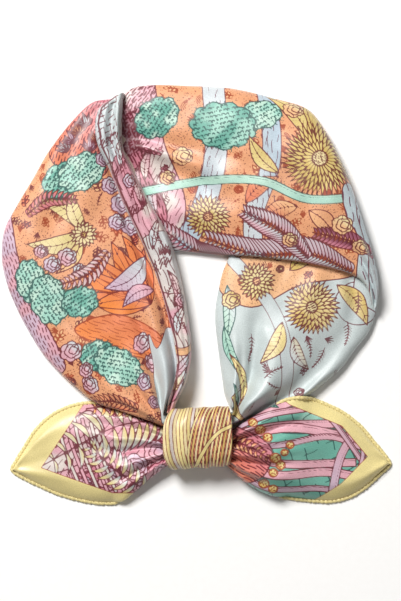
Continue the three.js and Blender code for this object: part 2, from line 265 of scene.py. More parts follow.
# %% Shape the inner roll
INNER_ROLL = rows_of(Section, [
    (-45.5, 107.0, -39.5, 110.0, 12),
    (-53.0, 101.0, -40.0, 104.5, 14.5),
    (-55.0, 92.0, -40.5, 94.0, 16),
    (-53.5, 81.5, -40.0, 81.0, 16.5),
    (-47.5, 68.5, -34.8, 68.5, 16.5),
    (-40.0, 50.0, -25.0, 50.0, 16),
    (-31.0, 31.5, -15.0, 31.5, 15),
    (-22.5, 12.0, -9.0, 12.0, 14),
    (-16.0, -9.5, -5.0, -9.0, 13.5),
    (-12.5, -24.5, -3.0, -24.5, 13.5),
    (-11.0, -36.0, -3.2, -36.0, 13.5),
    (-12.4, -47.0, -5.6, -47.0, 14),
    (-15.2, -56.0, -10.4, -56.5, 14.5),
    (-16.2, -63.0, -13.0, -63.5, 14),
])
INNER_ROLL_CREASES = rows_of(Crease, [
    (0.03, 0.60, 0.66, 0.44, 2.0, -2.2),
    (0.03, 0.45, 0.40, 0.26, 1.8, 1.2),
    (0.99, 0.45, 0.55, 0.45, 1.6, 1.6),
    (0.99, 0.55, 0.28, 0.70, 1.5, -1.6),
    (0.75, 0.35, 0.70, 0.40, 1.6, -0.9),
    (0.04, 1.20, 0.88, 0.84, 2.0, 1.9),
    (-0.05, 0.95, 0.50, 0.46, 4.0, -1.5),
])
tell("inner roll", INNER_ROLL, INNER_ROLL_CREASES)

# %% Shape the back
BACK = rows_of(Section, [
    (-29.5, 31.0, -48.0, 103.5, 4.6),
    (-21.0, 27.6, -41.5, 108.0, 5.6),
    (-12.0, 24.5, -34.5, 113.0, 7.6),
    (-5.0, 24.0, -25.5, 114.5, 9.6),
    (9.5, 22.5, -4.0, 114.0, 12.2),
    (19.0, 22.0, 8.0, 113.5, 13.5),
    (28.5, 21.5, 19.5, 112.5, 14.5),
    (47.5, 19.5, 41.0, 107.5, 15.5),
    (62.5, 17.0, 60.5, 101.0, 16),
    (74.5, 14.5, 70.0, 89.0, 16),
    (83.5, 11.5, 80.0, 69.0, 15.5),
    (89.5, 7.5, 88.5, 45.5, 14.5),
    (93.5, 0.5, 96.0, 20.5, 12.5),
    (94.5, -4.0, 98.3, 8.5, 10.6),
    (95.9, -8.3, 97.7, -2.8, 7.8),
])
BACK_CREASES = rows_of(Crease, [
    (-0.08, 0.50, 0.54, 0.38, 10.0, -3.2),
    (0.04, 0.52, 0.70, 0.34, 4.5, 2.4),
    (0.00, 0.60, 0.74, 0.50, 5.0, -1.6),
    (0.00, 0.34, 0.88, 0.90, 4.0, 1.2),
    (0.04, 0.75, 0.20, 0.30, 6.0, 1.0),
    (1.00, 0.50, 0.34, 0.18, 3.0, -2.6),
    (1.00, 0.58, 0.62, 0.36, 3.2, 2.0),
    (0.99, 0.66, 0.84, 0.66, 2.4, -1.5),
])
tell("back", BACK, BACK_CREASES)

# %% Shape the right arm
RIGHT_ARM = rows_of(Section, [
    (23.0, 38.5, 87.0, 29.5, 6),
    (19.5, 29.5, 92.0, 18.5, 7),
    (17.0, 20.5, 95.4, 6.0, 8),
    (14.0, 13.0, 97.9, -2.5, 8.8),
    (11.5, 2.5, 97.0, -9.5, 9.5),
    (10.0, -7.0, 92.9, -20.0, 10),
    (10.0, -16.0, 86.0, -29.0, 10.5),
    (11.0, -24.5, 78.5, -39.0, 11),
    (12.0, -32.5, 70.0, -46.5, 11.5),
    (13.0, -40.0, 61.0, -53.5, 12),
    (14.0, -47.0, 50.0, -58.5, 13),
    (15.0, -53.5, 38.5, -62.0, 14),
    (17.6, -60.0, 28.5, -65.5, 14.5),
    (19.2, -62.5, 21.4, -69.0, 14),
    (15.5, -64.0, 15.5, -70.0, 13),
])
RIGHT_ARM_CREASES = rows_of(Crease, [
    (1.02, 0.30, 0.62, 0.42, 4.6, 4.6),
    (1.02, 0.24, 0.40, 0.24, 2.8, -6.4),
    (1.02, 0.36, 0.20, 0.12, 1.9, 3.4),
    (1.02, 0.44, 0.30, 0.18, 1.2, -2.4),
    (1.02, 0.26, 0.84, 0.80, 5.6, -5.6),
    (1.00, 0.30, 0.96, 0.93, 2.2, 2.0),
    (0.08, 0.66, 0.84, 0.88, 4.5, -1.8),
    (0.12, 0.76, 0.62, 0.38, 7.0, 1.6),
    (0.10, 0.52, 0.40, 0.20, 5.0, -1.0),
])
tell("right arm", RIGHT_ARM, RIGHT_ARM_CREASES)

# %% Shape the left corner
LEFT_TAIL = rows_of(Section, [
    (-14.5, -73.0, -14.5, -91.0, 10.5),
    (-18.0, -71.5, -18.0, -93.3, 11),
    (-24.5, -67.5, -25.0, -98.6, 10.5),
    (-32.0, -63.0, -33.0, -105.6, 10),
    (-41.0, -59.2, -42.3, -112.7, 9),
    (-50.0, -57.2, -51.0, -113.6, 8.4),
    (-59.0, -57.0, -59.6, -112.6, 7.8),
    (-67.5, -58.4, -68.0, -110.7, 7.0),
    (-76.0, -61.8, -77.0, -107.9, 6.2),
    (-83.0, -66.6, -84.0, -104.8, 5.6),
    (-89.4, -73.4, -90.0, -102.1, 4.9),
    (-93.8, -80.4, -94.7, -99.7, 4.2),
    (-98.4, -87.8, -98.8, -97.4, 3.4),
    (-101.6, -93.2, -101.2, -95.8, 2.6),
])
LEFT_TAIL_CREASES = rows_of(Crease, [
    (0.01, 0.50, 0.10, 0.10, 1.5, 1.2),
    (0.01, 0.58, 0.22, 0.18, 1.8, -2.0),
    (0.01, 0.62, 0.36, 0.28, 2.0, 1.8),
    (0.01, 0.55, 0.48, 0.44, 1.7, -2.2),
    (0.01, 0.50, 0.62, 0.62, 2.0, 1.8),
    (0.01, 0.46, 0.74, 0.76, 1.5, -2.0),
    (0.01, 0.40, 0.87, 0.86, 1.6, 1.2),
    (0.95, 0.30, 0.84, 0.80, 2.4, 0.7),
    (0.95, 0.35, 0.62, 0.52, 3.5, -0.6),
    (0.95, 0.45, 0.22, 0.20, 3.0, 0.6),
])
tell("left corner", LEFT_TAIL, LEFT_TAIL_CREASES)

# %% Shape the right corner
RIGHT_TAIL = rows_of(Section, [
    (15.5, -73.5, 15.5, -91.0, 12.5),
    (18.9, -72.4, 18.9, -94.6, 14.5),
    (25.0, -68.2, 25.0, -100.2, 15.5),
    (32.0, -63.9, 32.5, -104.9, 15.5),
    (39.0, -60.0, 40.5, -108.7, 15),
    (46.3, -55.6, 49.0, -110.6, 14),
    (54.0, -53.9, 57.0, -111.7, 12),
    (62.0, -54.6, 65.0, -112.4, 9.4),
    (70.0, -57.6, 73.0, -112.6, 7.8),
    (78.9, -61.8, 81.9, -110.6, 7),
    (84.8, -65.9, 87.8, -107.7, 6.4),
    (90.8, -71.2, 93.7, -103.5, 5.8),
    (96.7, -78.4, 99.7, -97.9, 5.1),
    (102.1, -84.8, 104.4, -93.7, 4.2),
    (105.5, -89.8, 106.0, -92.2, 3.0),
])
RIGHT_TAIL_CREASES = rows_of(Crease, [
    (0.01, 0.50, 0.12, 0.12, 1.6, 1.4),
    (0.01, 0.66, 0.28, 0.22, 2.4, -4.4),
    (0.01, 0.52, 0.42, 0.36, 1.8, 1.6),
    (0.01, 0.60, 0.55, 0.48, 2.0, 2.0),
    (0.01, 0.50, 0.66, 0.64, 1.5, -2.6),
    (0.01, 0.46, 0.78, 0.78, 1.7, 2.0),
    (0.01, 0.40, 0.88, 0.88, 1.4, -1.6),
    (0.95, 0.36, 0.82, 0.84, 2.6, 0.7),
    (0.95, 0.40, 0.56, 0.60, 4.0, -0.6),
    (0.95, 0.42, 0.20, 0.16, 3.0, 0.7),
])
tell("right corner", RIGHT_TAIL, RIGHT_TAIL_CREASES)

# %% [markdown]
# ## Curves through the tables
# Cubic curves through the rows turn a dozen sections into hundreds. Blender could loft
# between curve objects, but plain arrays are quicker, and give each point of the cloth its
# own place on the flat silk, which the print needs later.

# %% Draw smooth curves through rows of points
def smooth_curve(points, shares):
    """Places at shares 0 to 1 along a centripetal curve through the points."""
    points = np.asarray(points, float)
    knots = np.vstack([2 * points[0] - points[1], points, 2 * points[-1] - points[-2]])
    place = np.clip(shares, 0, 1) * (len(points) - 1)
    index = np.minimum(place.astype(int), len(points) - 2)
    t = (place - index)[:, None]
    before, start, end, after = (knots[index + k] for k in range(4))
    gaps = []
    for p, q in ((before, start), (start, end), (end, after)):
        gaps.append(np.maximum(np.linalg.norm(q - p, axis=1), 1e-6)[:, None] ** 0.5)
    g0, g1, g2 = gaps
    leave = ((start - before) / g0 - (end - before) / (g0 + g1) + (end - start) / g1) * g1
    arrive = ((end - start) / g1 - (after - start) / (g1 + g2) + (after - end) / g2) * g1
    near = (1 - 3 * t**2 + 2 * t**3) * start + (t**3 - 2 * t**2 + t) * leave
    return near + (3 * t**2 - 2 * t**3) * end + (t**3 - t**2) * arrive


def rails_at(sections, shares):
    """Places on both rails of a stretch, at shares along it."""
    table = np.array(sections)
    return [smooth_curve(table[:, k : k + 2], shares) for k in (0, 2)]


def travel_along(points):
    """How far along a row of points each of them is."""
    return np.append(0, np.cumsum(np.linalg.norm(np.diff(points, axis=0), axis=1)))


def even_shares(sections, spacing):
    """Shares along a stretch that are an even spacing apart on its longer rail."""
    fine = np.linspace(0, 1, 500)
    rails = rails_at(sections, fine)
    steps = np.max([np.linalg.norm(np.diff(rail, axis=0), axis=1) for rail in rails], axis=0)
    travel = np.append(0, np.cumsum(steps))
    rows = int(travel[-1] / spacing) + 1
    return np.interp(np.linspace(0, travel[-1], rows), travel, fine)


print("the left arm has", len(even_shares(LEFT_ARM, 1.0)), "places a millimetre apart")


# %% Turn, step and find ways in plan
def smooth_step(low, high, value):
    """0 below low, 1 above high, and a soft step between."""
    share = np.clip((value - low) / (high - low), 0, 1)
    return share * share * (3 - 2 * share)


def toward(angle):
    """The way in plan at an angle."""
    return np.array([math.cos(angle), math.sin(angle)])


def quarter_turn(ways):
    """Ways in plan, each turned a quarter to the left."""
    return np.stack([-ways[..., 1], ways[..., 0]], -1)


def unit(ways):
    """Ways brought to length one."""
    return ways / np.maximum(np.linalg.norm(ways, axis=-1, keepdims=True), 1e-9)


def sides_towards(rail, other):
    """Unit steps in plan from each place of a rail, square to it, towards the other places."""
    side = unit(quarter_turn(np.gradient(rail, axis=0)))
    return side * np.sign((side * (other - rail)).sum(1, keepdims=True))


print("a quarter turn of the X axis:", quarter_turn(toward(0)))

# %% [markdown]
# ## Laying cloth on cloth
# The stretches cross, so an upper one has to rest on a lower one without cutting into it.
# A map of how high the silk reaches so far, in one-millimetre cells, tells each new stretch
# what lies under it. Ray casts or a shrinkwrap would do the same more slowly.

# %% Keep a height map of the cloth laid so far
MAP_HALF = 150


class Tabletop:
    """How high the cloth laid so far reaches, in cells of one millimetre."""

    def __init__(self):
        self.heights = np.zeros((2 * MAP_HALF, 2 * MAP_HALF))
        self.soft = self.heights

    def lay(self, points):
        """Take in the points of a new stretch."""
        cells = np.round(points[:, :2] + MAP_HALF).astype(int)
        np.maximum.at(self.heights, (cells[:, 0], cells[:, 1]), points[:, 2])
        moves = [(i, j) for i in (-1, 0, 1) for j in (-1, 0, 1)]
        widest = np.max([np.roll(self.heights, move, (0, 1)) for move in moves], axis=0)
        self.soft = np.mean([np.roll(widest, move, (0, 1)) for move in moves], axis=0)

    def height(self, places):
        """The height of the cloth under each place."""
        spot = np.clip(places + MAP_HALF, 0, 2 * MAP_HALF - 2)
        cell = spot.astype(int)
        across, along = np.moveaxis(spot - cell, -1, 0)
        i, j = np.moveaxis(cell, -1, 0)
        near = self.soft[i, j] * (1 - along) + self.soft[i, j + 1] * along
        far = self.soft[i + 1, j] * (1 - along) + self.soft[i + 1, j + 1] * along
        return near * (1 - across) + far * across


print("height map:", 2 * MAP_HALF, "cells on a side")

# %% [markdown]
# ## One stretch of folded silk
# Seen from the side, a folded band shows its layers: the lowest fold sticks out a little,
# and the next lies on it with a dark groove between. A row of points gives that edge once,
# and every section uses it on both sides. The skin closes under the stretch too, since the
# folded band is a tube, and a coarse lining 0.4 mm inside makes it a thin shell.

# %% Give the sizes of an edge and of the skin
SPACING = 0.5  # between neighbouring points across the cloth
ALONG = 0.56  # and along a stretch
SKIN = 0.4  # how thick the shell is
RIM = 3.2  # height of the two layers that show along an edge
CLEAR = 0.25  # air between a stretch and what it lies on
OVER_CLOTH = 1.0  # how far the crown stays above the cloth under it
LEAST_CROWN = 0.4  # how far it rises at least above its edges
LEAST_EDGE = 0.12  # the smallest share of the edge's size, where a stretch is thin
HEM_THIN = 0.62  # how much of the edge's size a hemmed side loses
INSIDE_RAIL = 0.6  # where the height of the cloth under a rail is felt
REST_REACH = 2.5  # and how far along the rail it is evened out
UNDER_POINTS = 16  # across the underside
LINING_UNDER = 3  # of them on the lining
LINING_STEP = 6  # skin points for each point of the lining
CREASE_EDGE = 0.07  # share of the width over which creases fade at an edge
EDGE = [  # inward and upward, from the underside to where the crown begins
    (1.6, 0.0), (0.9, 0.03), (0.35, 0.2), (0.08, 0.5), (0.0, 0.9), (0.12, 1.3), (0.5, 1.58),
    (0.95, 1.72), (1.12, 1.88), (0.95, 2.02), (0.5, 2.2), (0.2, 2.5), (0.1, 2.8),
]
HEM_WIDTH = 2.2
HEM_HEIGHT = 1.55
HEM_OVERLAP = 0.5  # how far the flat cloth runs into the roll

Cloth = namedtuple("Cloth", "points flat facing lining")
print("an edge has", len(EDGE), "points and is", RIM, "mm high")


# %% Raise creases and a low swell
def crease_height(creases, share, across, width):
    """What the creases add to the height, at each share along and across a stretch."""
    edges = smooth_step(0, CREASE_EDGE, across) * smooth_step(0, CREASE_EDGE, 1 - across)
    total = np.zeros_like(across * share)
    for crease in creases:
        run = (share - crease.start) / (crease.end - crease.start)
        centre = crease.at_start + (crease.at_end - crease.at_start) * run
        away = (across - centre) * width / (crease.width * (0.6 + 1.1 * np.clip(run, 0, 1)))
        fade = smooth_step(0, 0.1, run) * smooth_step(0, 0.6, 1 - run)
        total += crease.lift * fade * np.exp(-away * away)
    return total * edges


def undulation(places):
    """A low, uneven swell, as silk has where nothing pulls it flat."""
    x, y = places[..., 0], places[..., 1]
    swell = 0.34 * np.sin(0.17 * x + 0.05 * y + 0.8) * np.sin(0.11 * y - 0.06 * x + 2.1)
    swell += 0.20 * np.sin(0.29 * x - 0.21 * y + 4.0) + 0.10 * np.sin(0.47 * y + 0.31 * x + 1.3)
    drift = np.sin(0.045 * x + 0.9) + np.cos(0.06 * y)
    swell += 0.10 * np.sin(0.62 * x + 0.35 * y + 1.5 * drift) * np.sin(0.12 * y + 0.4 + drift)
    return swell


print("swell at the middle:", round(float(undulation(np.zeros(2))), 2), "mm")


# %% Even out and limit heights
def ease(values, reach):
    """Values along a rail, smoothed over a reach in millimetres."""
    half = int(2.5 * reach / SPACING)
    bell = np.exp(-((np.arange(-half, half + 1) * SPACING / reach) ** 2) / 2)
    padded = np.pad(values, half, mode="edge")
    return np.convolve(padded, bell / bell.sum(), mode="valid")


def keep_above(height, floor, softness=0.5):
    """The height, lifted softly where it would come under the floor."""
    return floor + softness * np.logaddexp(0, (height - floor) / softness)


# %% Face a skin outward and line it
def facing_of(points):
    """1 where quads taken in the grid's own order face out, and -1 where they face in."""
    along = np.gradient(points, axis=0)
    across = np.roll(points, -1, axis=1) - np.roll(points, 1, axis=1)
    outward = points - points.mean(axis=1, keepdims=True)
    return np.sign((np.cross(across, along) * outward).sum())


def lowest_near(grid, reach):
    """The lowest value within a reach of each cell."""
    for axis in (0, 1):
        pad = [(reach, reach) if k == axis else (0, 0) for k in (0, 1)]
        padded = np.pad(grid, pad, mode="edge")
        grid = np.lib.stride_tricks.sliding_window_view(padded, 2 * reach + 1, axis).min(-1)
    return grid


def line_stretch(a, across, width, scale, crown_in, top, under_in, under_up):
    """A coarse lining inside a stretch, a skin's thickness from its crown and its underside."""
    rows = np.append(np.arange(0, len(a) - 1, LINING_STEP), len(a) - 1)
    count = (2 * len(EDGE) + top.shape[1] + UNDER_POINTS) // LINING_STEP
    margin = np.minimum(1.9 * scale + 0.2, 0.4 * width)[rows]
    low_top = lowest_near(top, LINING_STEP)[rows] - SKIN
    run = np.linspace(0, 1, count - LINING_UNDER)
    back = np.linspace(1, 0, LINING_UNDER + 2)[1:-1]
    over_in = margin + (width[rows] - 2 * margin) * run
    below_in = margin + (width[rows] - 2 * margin) * back
    over, below = np.zeros_like(over_in), np.zeros_like(below_in)
    for k, row in enumerate(rows):
        floor = np.interp(over_in[k], under_in[row][::-1], under_up[row][::-1]) + SKIN
        over[k] = np.maximum(np.interp(over_in[k], crown_in[row], low_top[k]), floor)
        below[k] = np.interp(below_in[k], under_in[row][::-1], under_up[row][::-1]) + SKIN / 2
    inward = np.hstack([over_in, below_in])[..., None]
    places = a[rows][:, None] + across[rows][:, None] * inward
    return rows, np.dstack([places, np.hstack([over, below])])


# %% Lay one stretch
def lay_stretch(sections, creases, tabletop, hem_from=None, hollow_from=None, lift=0.0):
    """The skin of one stretch, laid over what is on the table already. The lift is how far
    its lower edge is held off the table where it comes out of the knot."""
    share = even_shares(sections, ALONG)
    a, b = rails_at(sections, share)
    tops = np.column_stack([np.arange(len(sections)), [row.top for row in sections]])
    crown = smooth_curve(tops, share)[:, 1:]
    hemmed = np.zeros((len(share), 1))
    if hem_from is not None:
        hemmed[:, 0] = smooth_step(hem_from - 0.01, hem_from + 0.06, share)
    a += sides_towards(a, b) * hemmed * (HEM_WIDTH - HEM_OVERLAP)
    b += sides_towards(b, a) * hemmed * (HEM_WIDTH - HEM_OVERLAP)
    width = np.linalg.norm(b - a, axis=1, keepdims=True)
    across = (b - a) / np.maximum(width, 1e-6)
    rest_a = ease(tabletop.height(a + across * INSIDE_RAIL), REST_REACH)[:, None]
    rest_b = ease(tabletop.height(b - across * INSIDE_RAIL), REST_REACH)[:, None]
    rest_b = rest_b + lift * (1 - smooth_step(0.04, 0.36, share))[:, None]
    thin = np.minimum((crown - np.maximum(rest_a, rest_b)) / 6, width / 14)
    scale = np.clip(thin, LEAST_EDGE, 1) * (1 - HEM_THIN * hemmed)

    edge = np.array(EDGE)
    rounds = int(np.percentile(width, 95) / SPACING)
    rounds += -(rounds + 1 + 2 * len(edge) + UNDER_POINTS) % LINING_STEP
    even = np.linspace(0, 1, rounds + 1)
    t = 0.6 * even + 0.4 * (0.5 - 0.5 * np.cos(np.pi * even))
    base = rest_a + (rest_b - rest_a) * t + RIM * scale
    bulge = (1 - np.abs(2 * t - 1) ** (2.6 + 1.6 * hemmed)) ** (0.5 + 0.4 * hemmed)
    middle_of = (t * width)[..., None] * across[:, None] + a[:, None]
    swell = undulation(middle_of) * np.clip(4 * t * (1 - t), 0, 1) * (1 - 0.4 * hemmed)
    top = base + np.maximum(crown - base, LEAST_CROWN) * bulge + swell
    top += crease_height(creases, share[:, None], t, width)
    top = keep_above(top, tabletop.height(middle_of) + OVER_CLOTH)
    crown_in = t * width + 0.35 * scale * (1 - 2 * t)

    edge_in, edge_up = edge[:, 0] * scale, edge[:, 1] * scale
    under_t = np.linspace(1, 0, UNDER_POINTS + 2)[1:-1]
    tuck = edge_in[:, :1]
    under_in = tuck + (width - 2 * tuck) * under_t
    under_up = rest_a + (rest_b - rest_a) * under_t
    if hollow_from is not None:
        hollow = smooth_step(hollow_from - 0.12, hollow_from, share)[:, None]
        roof = np.array([np.interp(*row) for row in zip(under_in, crown_in, top)])
        under_up = np.maximum(under_up, (roof - 0.7) * hollow)
    inward = np.hstack([edge_in, crown_in, (width - edge_in)[:, ::-1], under_in])
    upward = np.hstack([rest_a + edge_up, top, (rest_b + edge_up)[:, ::-1], under_up])
    places = a[:, None] + across[:, None] * inward[..., None]
    is_crown = np.zeros(inward.shape[1], bool)
    is_crown[len(edge) : len(edge) + rounds + 1] = True
    floor = tabletop.height(places) + CLEAR
    upward = np.where(is_crown, upward, np.maximum(upward, np.where(floor > 2 * CLEAR, floor, 0)))
    points = np.dstack([places, upward])

    ring = np.dstack([inward, upward])
    steps = np.linalg.norm(np.diff(np.concatenate([ring, ring[:, :1]], 1), axis=1), axis=2)
    arc = np.concatenate([np.zeros((len(share), 1)), np.cumsum(steps, axis=1)], axis=1)
    arc -= arc[:, [len(edge) + rounds // 2]]
    centre = a + across * width * t[rounds // 2]
    flat = centre[:, None] + across[:, None] * arc[..., None]
    lining = None
    if hollow_from is None:
        lining = line_stretch(a, across, width, scale, crown_in, top, under_in, under_up)
    tabletop.lay(points.reshape(-1, 3))
    return Cloth(points, flat, facing_of(points), lining)


# %% [markdown]
# ## The rolled hems
# The square's edge is rolled towards the face and sewn by hand, so each corner has a soft
# round cord of silk along its two cut edges, pinched a little by every stitch. A curve with
# a bevel would be an even tube. This one is lofted from rings, so its width can waver.

# %% Find the way round each corner
HEM_ROUNDS = 14  # points round the roll
HEM_TAPER = 3.2  # length over which each end grows thin
HEM_TUCK = 1.8  # and turns inward
LEFT_HEM_FROM, RIGHT_HEM_FROM = 0.285, 0.3  # share along each corner where its hem comes out
STITCH_EVERY = 2.3
dice = np.random.default_rng(53)


def hem_path(sections, hem_from):
    """Places along the middle of a corner's hem, from one side round the point to the other."""
    a, b = rails_at(sections, np.linspace(hem_from, 0.97, 24))
    back, point = np.mean(rails_at(sections, np.array([0.9, 1.0])), axis=0)
    left = a + sides_towards(a, b) * HEM_WIDTH / 2
    right = b + sides_towards(b, a) * HEM_WIDTH / 2
    corner = point - unit(point - back) * HEM_WIDTH / 2
    fine = smooth_curve(np.vstack([left, corner, right[::-1]]), np.linspace(0, 1, 3000))
    travel = travel_along(fine)
    even = np.linspace(0, travel[-1], int(travel[-1] / SPACING))
    return np.column_stack([np.interp(even, travel, fine[:, k]) for k in (0, 1)]), even


for corner, hem_from in ((LEFT_TAIL, LEFT_HEM_FROM), (RIGHT_TAIL, RIGHT_HEM_FROM)):
    print("hem of", round(hem_path(corner, hem_from)[1][-1]), "mm")


# %% Loft the hems and sew them down
def sew_stitches(path, along, inner_way, rest, travel):
    """Slanted stitches that hold the roll down: a spindle of thread each, as rings of points."""
    rings = []
    places = np.arange(7, travel[-1] - 7, STITCH_EVERY)
    for travelled in places + dice.uniform(-0.12, 0.12, len(places)):
        k = int(np.searchsorted(travel, travelled))
        way = inner_way[k] * 0.55 + along[k] * 0.83
        cross = quarter_turn(way)
        start = path[k] + inner_way[k] * 0.35
        for share, size in zip(np.linspace(0, 1, 5), (0.06, 0.2, 0.25, 0.2, 0.06)):
            middle = start + way * 1.4 * share
            height = rest[k] + HEM_HEIGHT * (0.99 - 0.22 * share) + 0.06
            for angle in np.linspace(0, 2 * math.pi, 6, endpoint=False):
                place = middle + cross * size * math.cos(angle)
                rings.append([*place, height + size * math.sin(angle)])
    return np.array(rings).reshape(-1, 5, 6, 3)


def lay_hem(sections, hem_from, tabletop, phase):
    """The skin of a rolled hem, laid on what is under it, and its stitches."""
    path, travel = hem_path(sections, hem_from)
    along = unit(np.gradient(path, axis=0))
    side = quarter_turn(along)
    heart = np.array(sections)[len(sections) // 2, :4].reshape(2, 2).mean(0)
    inner_way = side * np.sign((side * (heart - path)).sum(1, keepdims=True))
    rest = ease(tabletop.height(path), 1.5)
    rest = np.where(rest > 0.1, rest + CLEAR, 0)
    waver = 0.05 * np.sin(travel * 0.83 + phase) + 0.04 * np.sin(travel * 1.91 + 2 * phase)
    pinch = 0.24 * np.maximum(np.cos(2 * np.pi * travel / STITCH_EVERY), 0) ** 3
    from_end = np.minimum(travel, travel[-1] - travel)
    ends = smooth_step(0, HEM_TAPER, from_end)
    path = path + inner_way * (HEM_TUCK * (1 - ends))[:, None]
    size = ((1 + waver - pinch) * (0.4 + 0.6 * ends))[:, None]
    angle = 2 * np.pi * (np.arange(HEM_ROUNDS + 1) + 0.5) / HEM_ROUNDS
    out = HEM_WIDTH / 2 * np.cos(angle) * size
    up = HEM_HEIGHT * (0.5 + 0.5 * np.sin(angle)) * size
    places = path[:, None] + side[:, None] * out[..., None]
    points = np.dstack([places, rest[:, None] + up])[:, :-1]
    flat = np.dstack([travel[:, None] + 0 * up, HEM_WIDTH / 2 * angle + 0 * up])
    stitches = sew_stitches(path, along, inner_way, rest, travel)
    return Cloth(points, flat, facing_of(points), None), stitches


# %% [markdown]
# ## The knot
# One more width of the band goes round both ends and is pulled tight. It is a short sleeve,
# a rounded oblong seen from the side, with its two rims rolled in. The silk runs round it,
# so its gathers run that way too, from the upper edge over the top to the lower edge.

# %% Give the sizes of the knot and its folds
KnotEnd = namedtuple("KnotEnd", "x pinch y half")
KNOT_LEFT = KnotEnd(-18.4, 4.0, -77.1, 16.3)
KNOT_RIGHT = KnotEnd(18.9, 1.4, -75.4, 16.1)
KNOT_HEIGHT = 21.0
KNOT_WALL = 2.0
KNOT_SQUARENESS = 2.7  # 2 is an oval, and more is squarer
KNOT_SINK = 0.7  # how far its flattened foot is cut off
KNOT_WAIST = 0.5  # how far the face sags towards both rims
KnotFold = namedtuple("KnotFold", "upper lower width lift")
KNOT_FOLDS = rows_of(KnotFold, [
    (0.07, 0.10, 1.5, 0.55),
    (0.20, 0.16, 1.9, -0.65),
    (0.33, 0.27, 2.4, 0.50),
    (0.47, 0.44, 1.4, -0.45),
    (0.58, 0.60, 2.2, 0.55),
    (0.72, 0.70, 1.5, -0.70),
    (0.80, 0.86, 2.0, 0.45),
    (0.93, 0.94, 1.3, -0.40),
])


print("the knot is", round(KNOT_RIGHT.x - KNOT_LEFT.x, 1), "mm long and has", len(KNOT_FOLDS), "folds")


# %% Wrap the knot
def oblong(value):
    """A sine or cosine, pushed out so that a circle turns into a rounded oblong."""
    return np.sign(value) * np.abs(value) ** (2 / KNOT_SQUARENESS)


def knot_place(share, angle, depth):
    """Places on the wrap: share along it, angle round it, depth in from its face."""
    v, w = oblong(np.cos(angle)), oblong(np.sin(angle))
    middle = KNOT_LEFT.y + (KNOT_RIGHT.y - KNOT_LEFT.y) * share
    half = KNOT_LEFT.half + (KNOT_RIGHT.half - KNOT_LEFT.half) * share - depth
    start = KNOT_LEFT.x + KNOT_LEFT.pinch * np.abs(v) ** 3
    end = KNOT_RIGHT.x - KNOT_RIGHT.pinch * np.abs(v) ** 3
    sag = np.where(w > 0, KNOT_WAIST * w * (2 * share - 1) ** 2, 0)
    z = (KNOT_HEIGHT - KNOT_SINK) / 2 + w * ((KNOT_HEIGHT + KNOT_SINK) / 2 - depth) - sag
    return np.stack([start + (end - start) * share, middle + v * half, np.maximum(z, depth)], -1)


def wrap_knot():
    """The skin of the wrap: out along its face, round a rolled rim, and back inside."""
    length = KNOT_RIGHT.x - KNOT_LEFT.x
    turn = np.linspace(0, math.pi, 8)
    rim = KNOT_WALL / 2 * np.column_stack([1 - np.sin(turn), 1 - np.cos(turn)])
    face = np.linspace(rim[0, 0], length - rim[0, 0], int(length / SPACING))[1:-1]
    lining = np.linspace(length - rim[-1, 0], rim[-1, 0], 10)[1:-1]
    far = np.column_stack([length - rim[:, 0], rim[:, 1]])
    outer = np.column_stack([face, 0 * face])
    inner = np.column_stack([lining, 0 * lining + KNOT_WALL])
    profile = np.vstack([rim[::-1], outer, far, inner])
    fine = np.linspace(0, 2 * math.pi, 2000)
    girth = knot_place(0.5, fine, 0.0)
    travel = travel_along(girth)
    even = np.linspace(0, travel[-1], int(travel[-1] / SPACING), endpoint=False)
    angle = np.interp(even, travel, fine)[:, None]
    share, depth = profile[:, 0] / length, profile[:, 1]
    v = oblong(np.cos(angle))
    lifted = smooth_step(-0.35, 0.35, np.sin(angle)) * (1 - depth / KNOT_WALL)
    rise = np.zeros_like(share * angle)
    for fold in KNOT_FOLDS:
        centre = fold.upper + (fold.lower - fold.upper) * (1 - v) / 2
        centre = centre + 0.012 * np.sin(5 * v + 9 * fold.upper)
        away = (share - centre) * length / fold.width
        rise += fold.lift * np.exp(-away * away) * (0.75 + 0.4 * np.abs(v))
    rise += 0.16 * np.sin(11 * share + 2.5 * v) * np.sin(3 * v + 1)
    points = knot_place(share, angle, depth - rise * lifted)
    slip = travel_along(profile)
    slip = np.append(slip, slip[-1] + KNOT_WALL)
    flat = np.dstack(np.meshgrid(slip, np.append(even, travel[-1])))
    return Cloth(points, flat, facing_of(points), None)


# %% [markdown]
# ## Lay the stretches in order
# The right arm and the left tail touch the table, and the rest are laid on them in the order
# in which they were folded. Each stretch takes in what is under it.

# %% Lay all the stretches
tabletop = Tabletop()
cloths = {}
cloths["right_arm"] = lay_stretch(RIGHT_ARM, RIGHT_ARM_CREASES, tabletop)
cloths["left_tail"] = lay_stretch(LEFT_TAIL, LEFT_TAIL_CREASES, tabletop, LEFT_HEM_FROM, 0.34, 4.5)
stitches = {}
cloths["left_tail_hem"], stitches["left"] = lay_hem(LEFT_TAIL, LEFT_HEM_FROM, Tabletop(), 0.4)
tabletop.lay(cloths["left_tail_hem"].points.reshape(-1, 3))
cloths["left_arm"] = lay_stretch(LEFT_ARM, LEFT_ARM_CREASES, tabletop)
cloths["back_stretch"] = lay_stretch(BACK, BACK_CREASES, tabletop)
cloths["inner_roll"] = lay_stretch(INNER_ROLL, INNER_ROLL_CREASES, tabletop)
under_right = Tabletop()
under_right.lay(cloths["right_arm"].points.reshape(-1, 3))
cloths["right_tail"] = lay_stretch(RIGHT_TAIL, RIGHT_TAIL_CREASES, tabletop, RIGHT_HEM_FROM, 0.5, 3.0)
cloths["right_tail_hem"], stitches["right"] = lay_hem(RIGHT_TAIL, RIGHT_HEM_FROM, under_right, 2.0)
cloths["knot_wrap"] = wrap_knot()
for name, cloth in cloths.items():
    print(name, "grid", cloth.points.shape[:2], "top", round(cloth.points[..., 2].max(), 1), "mm")

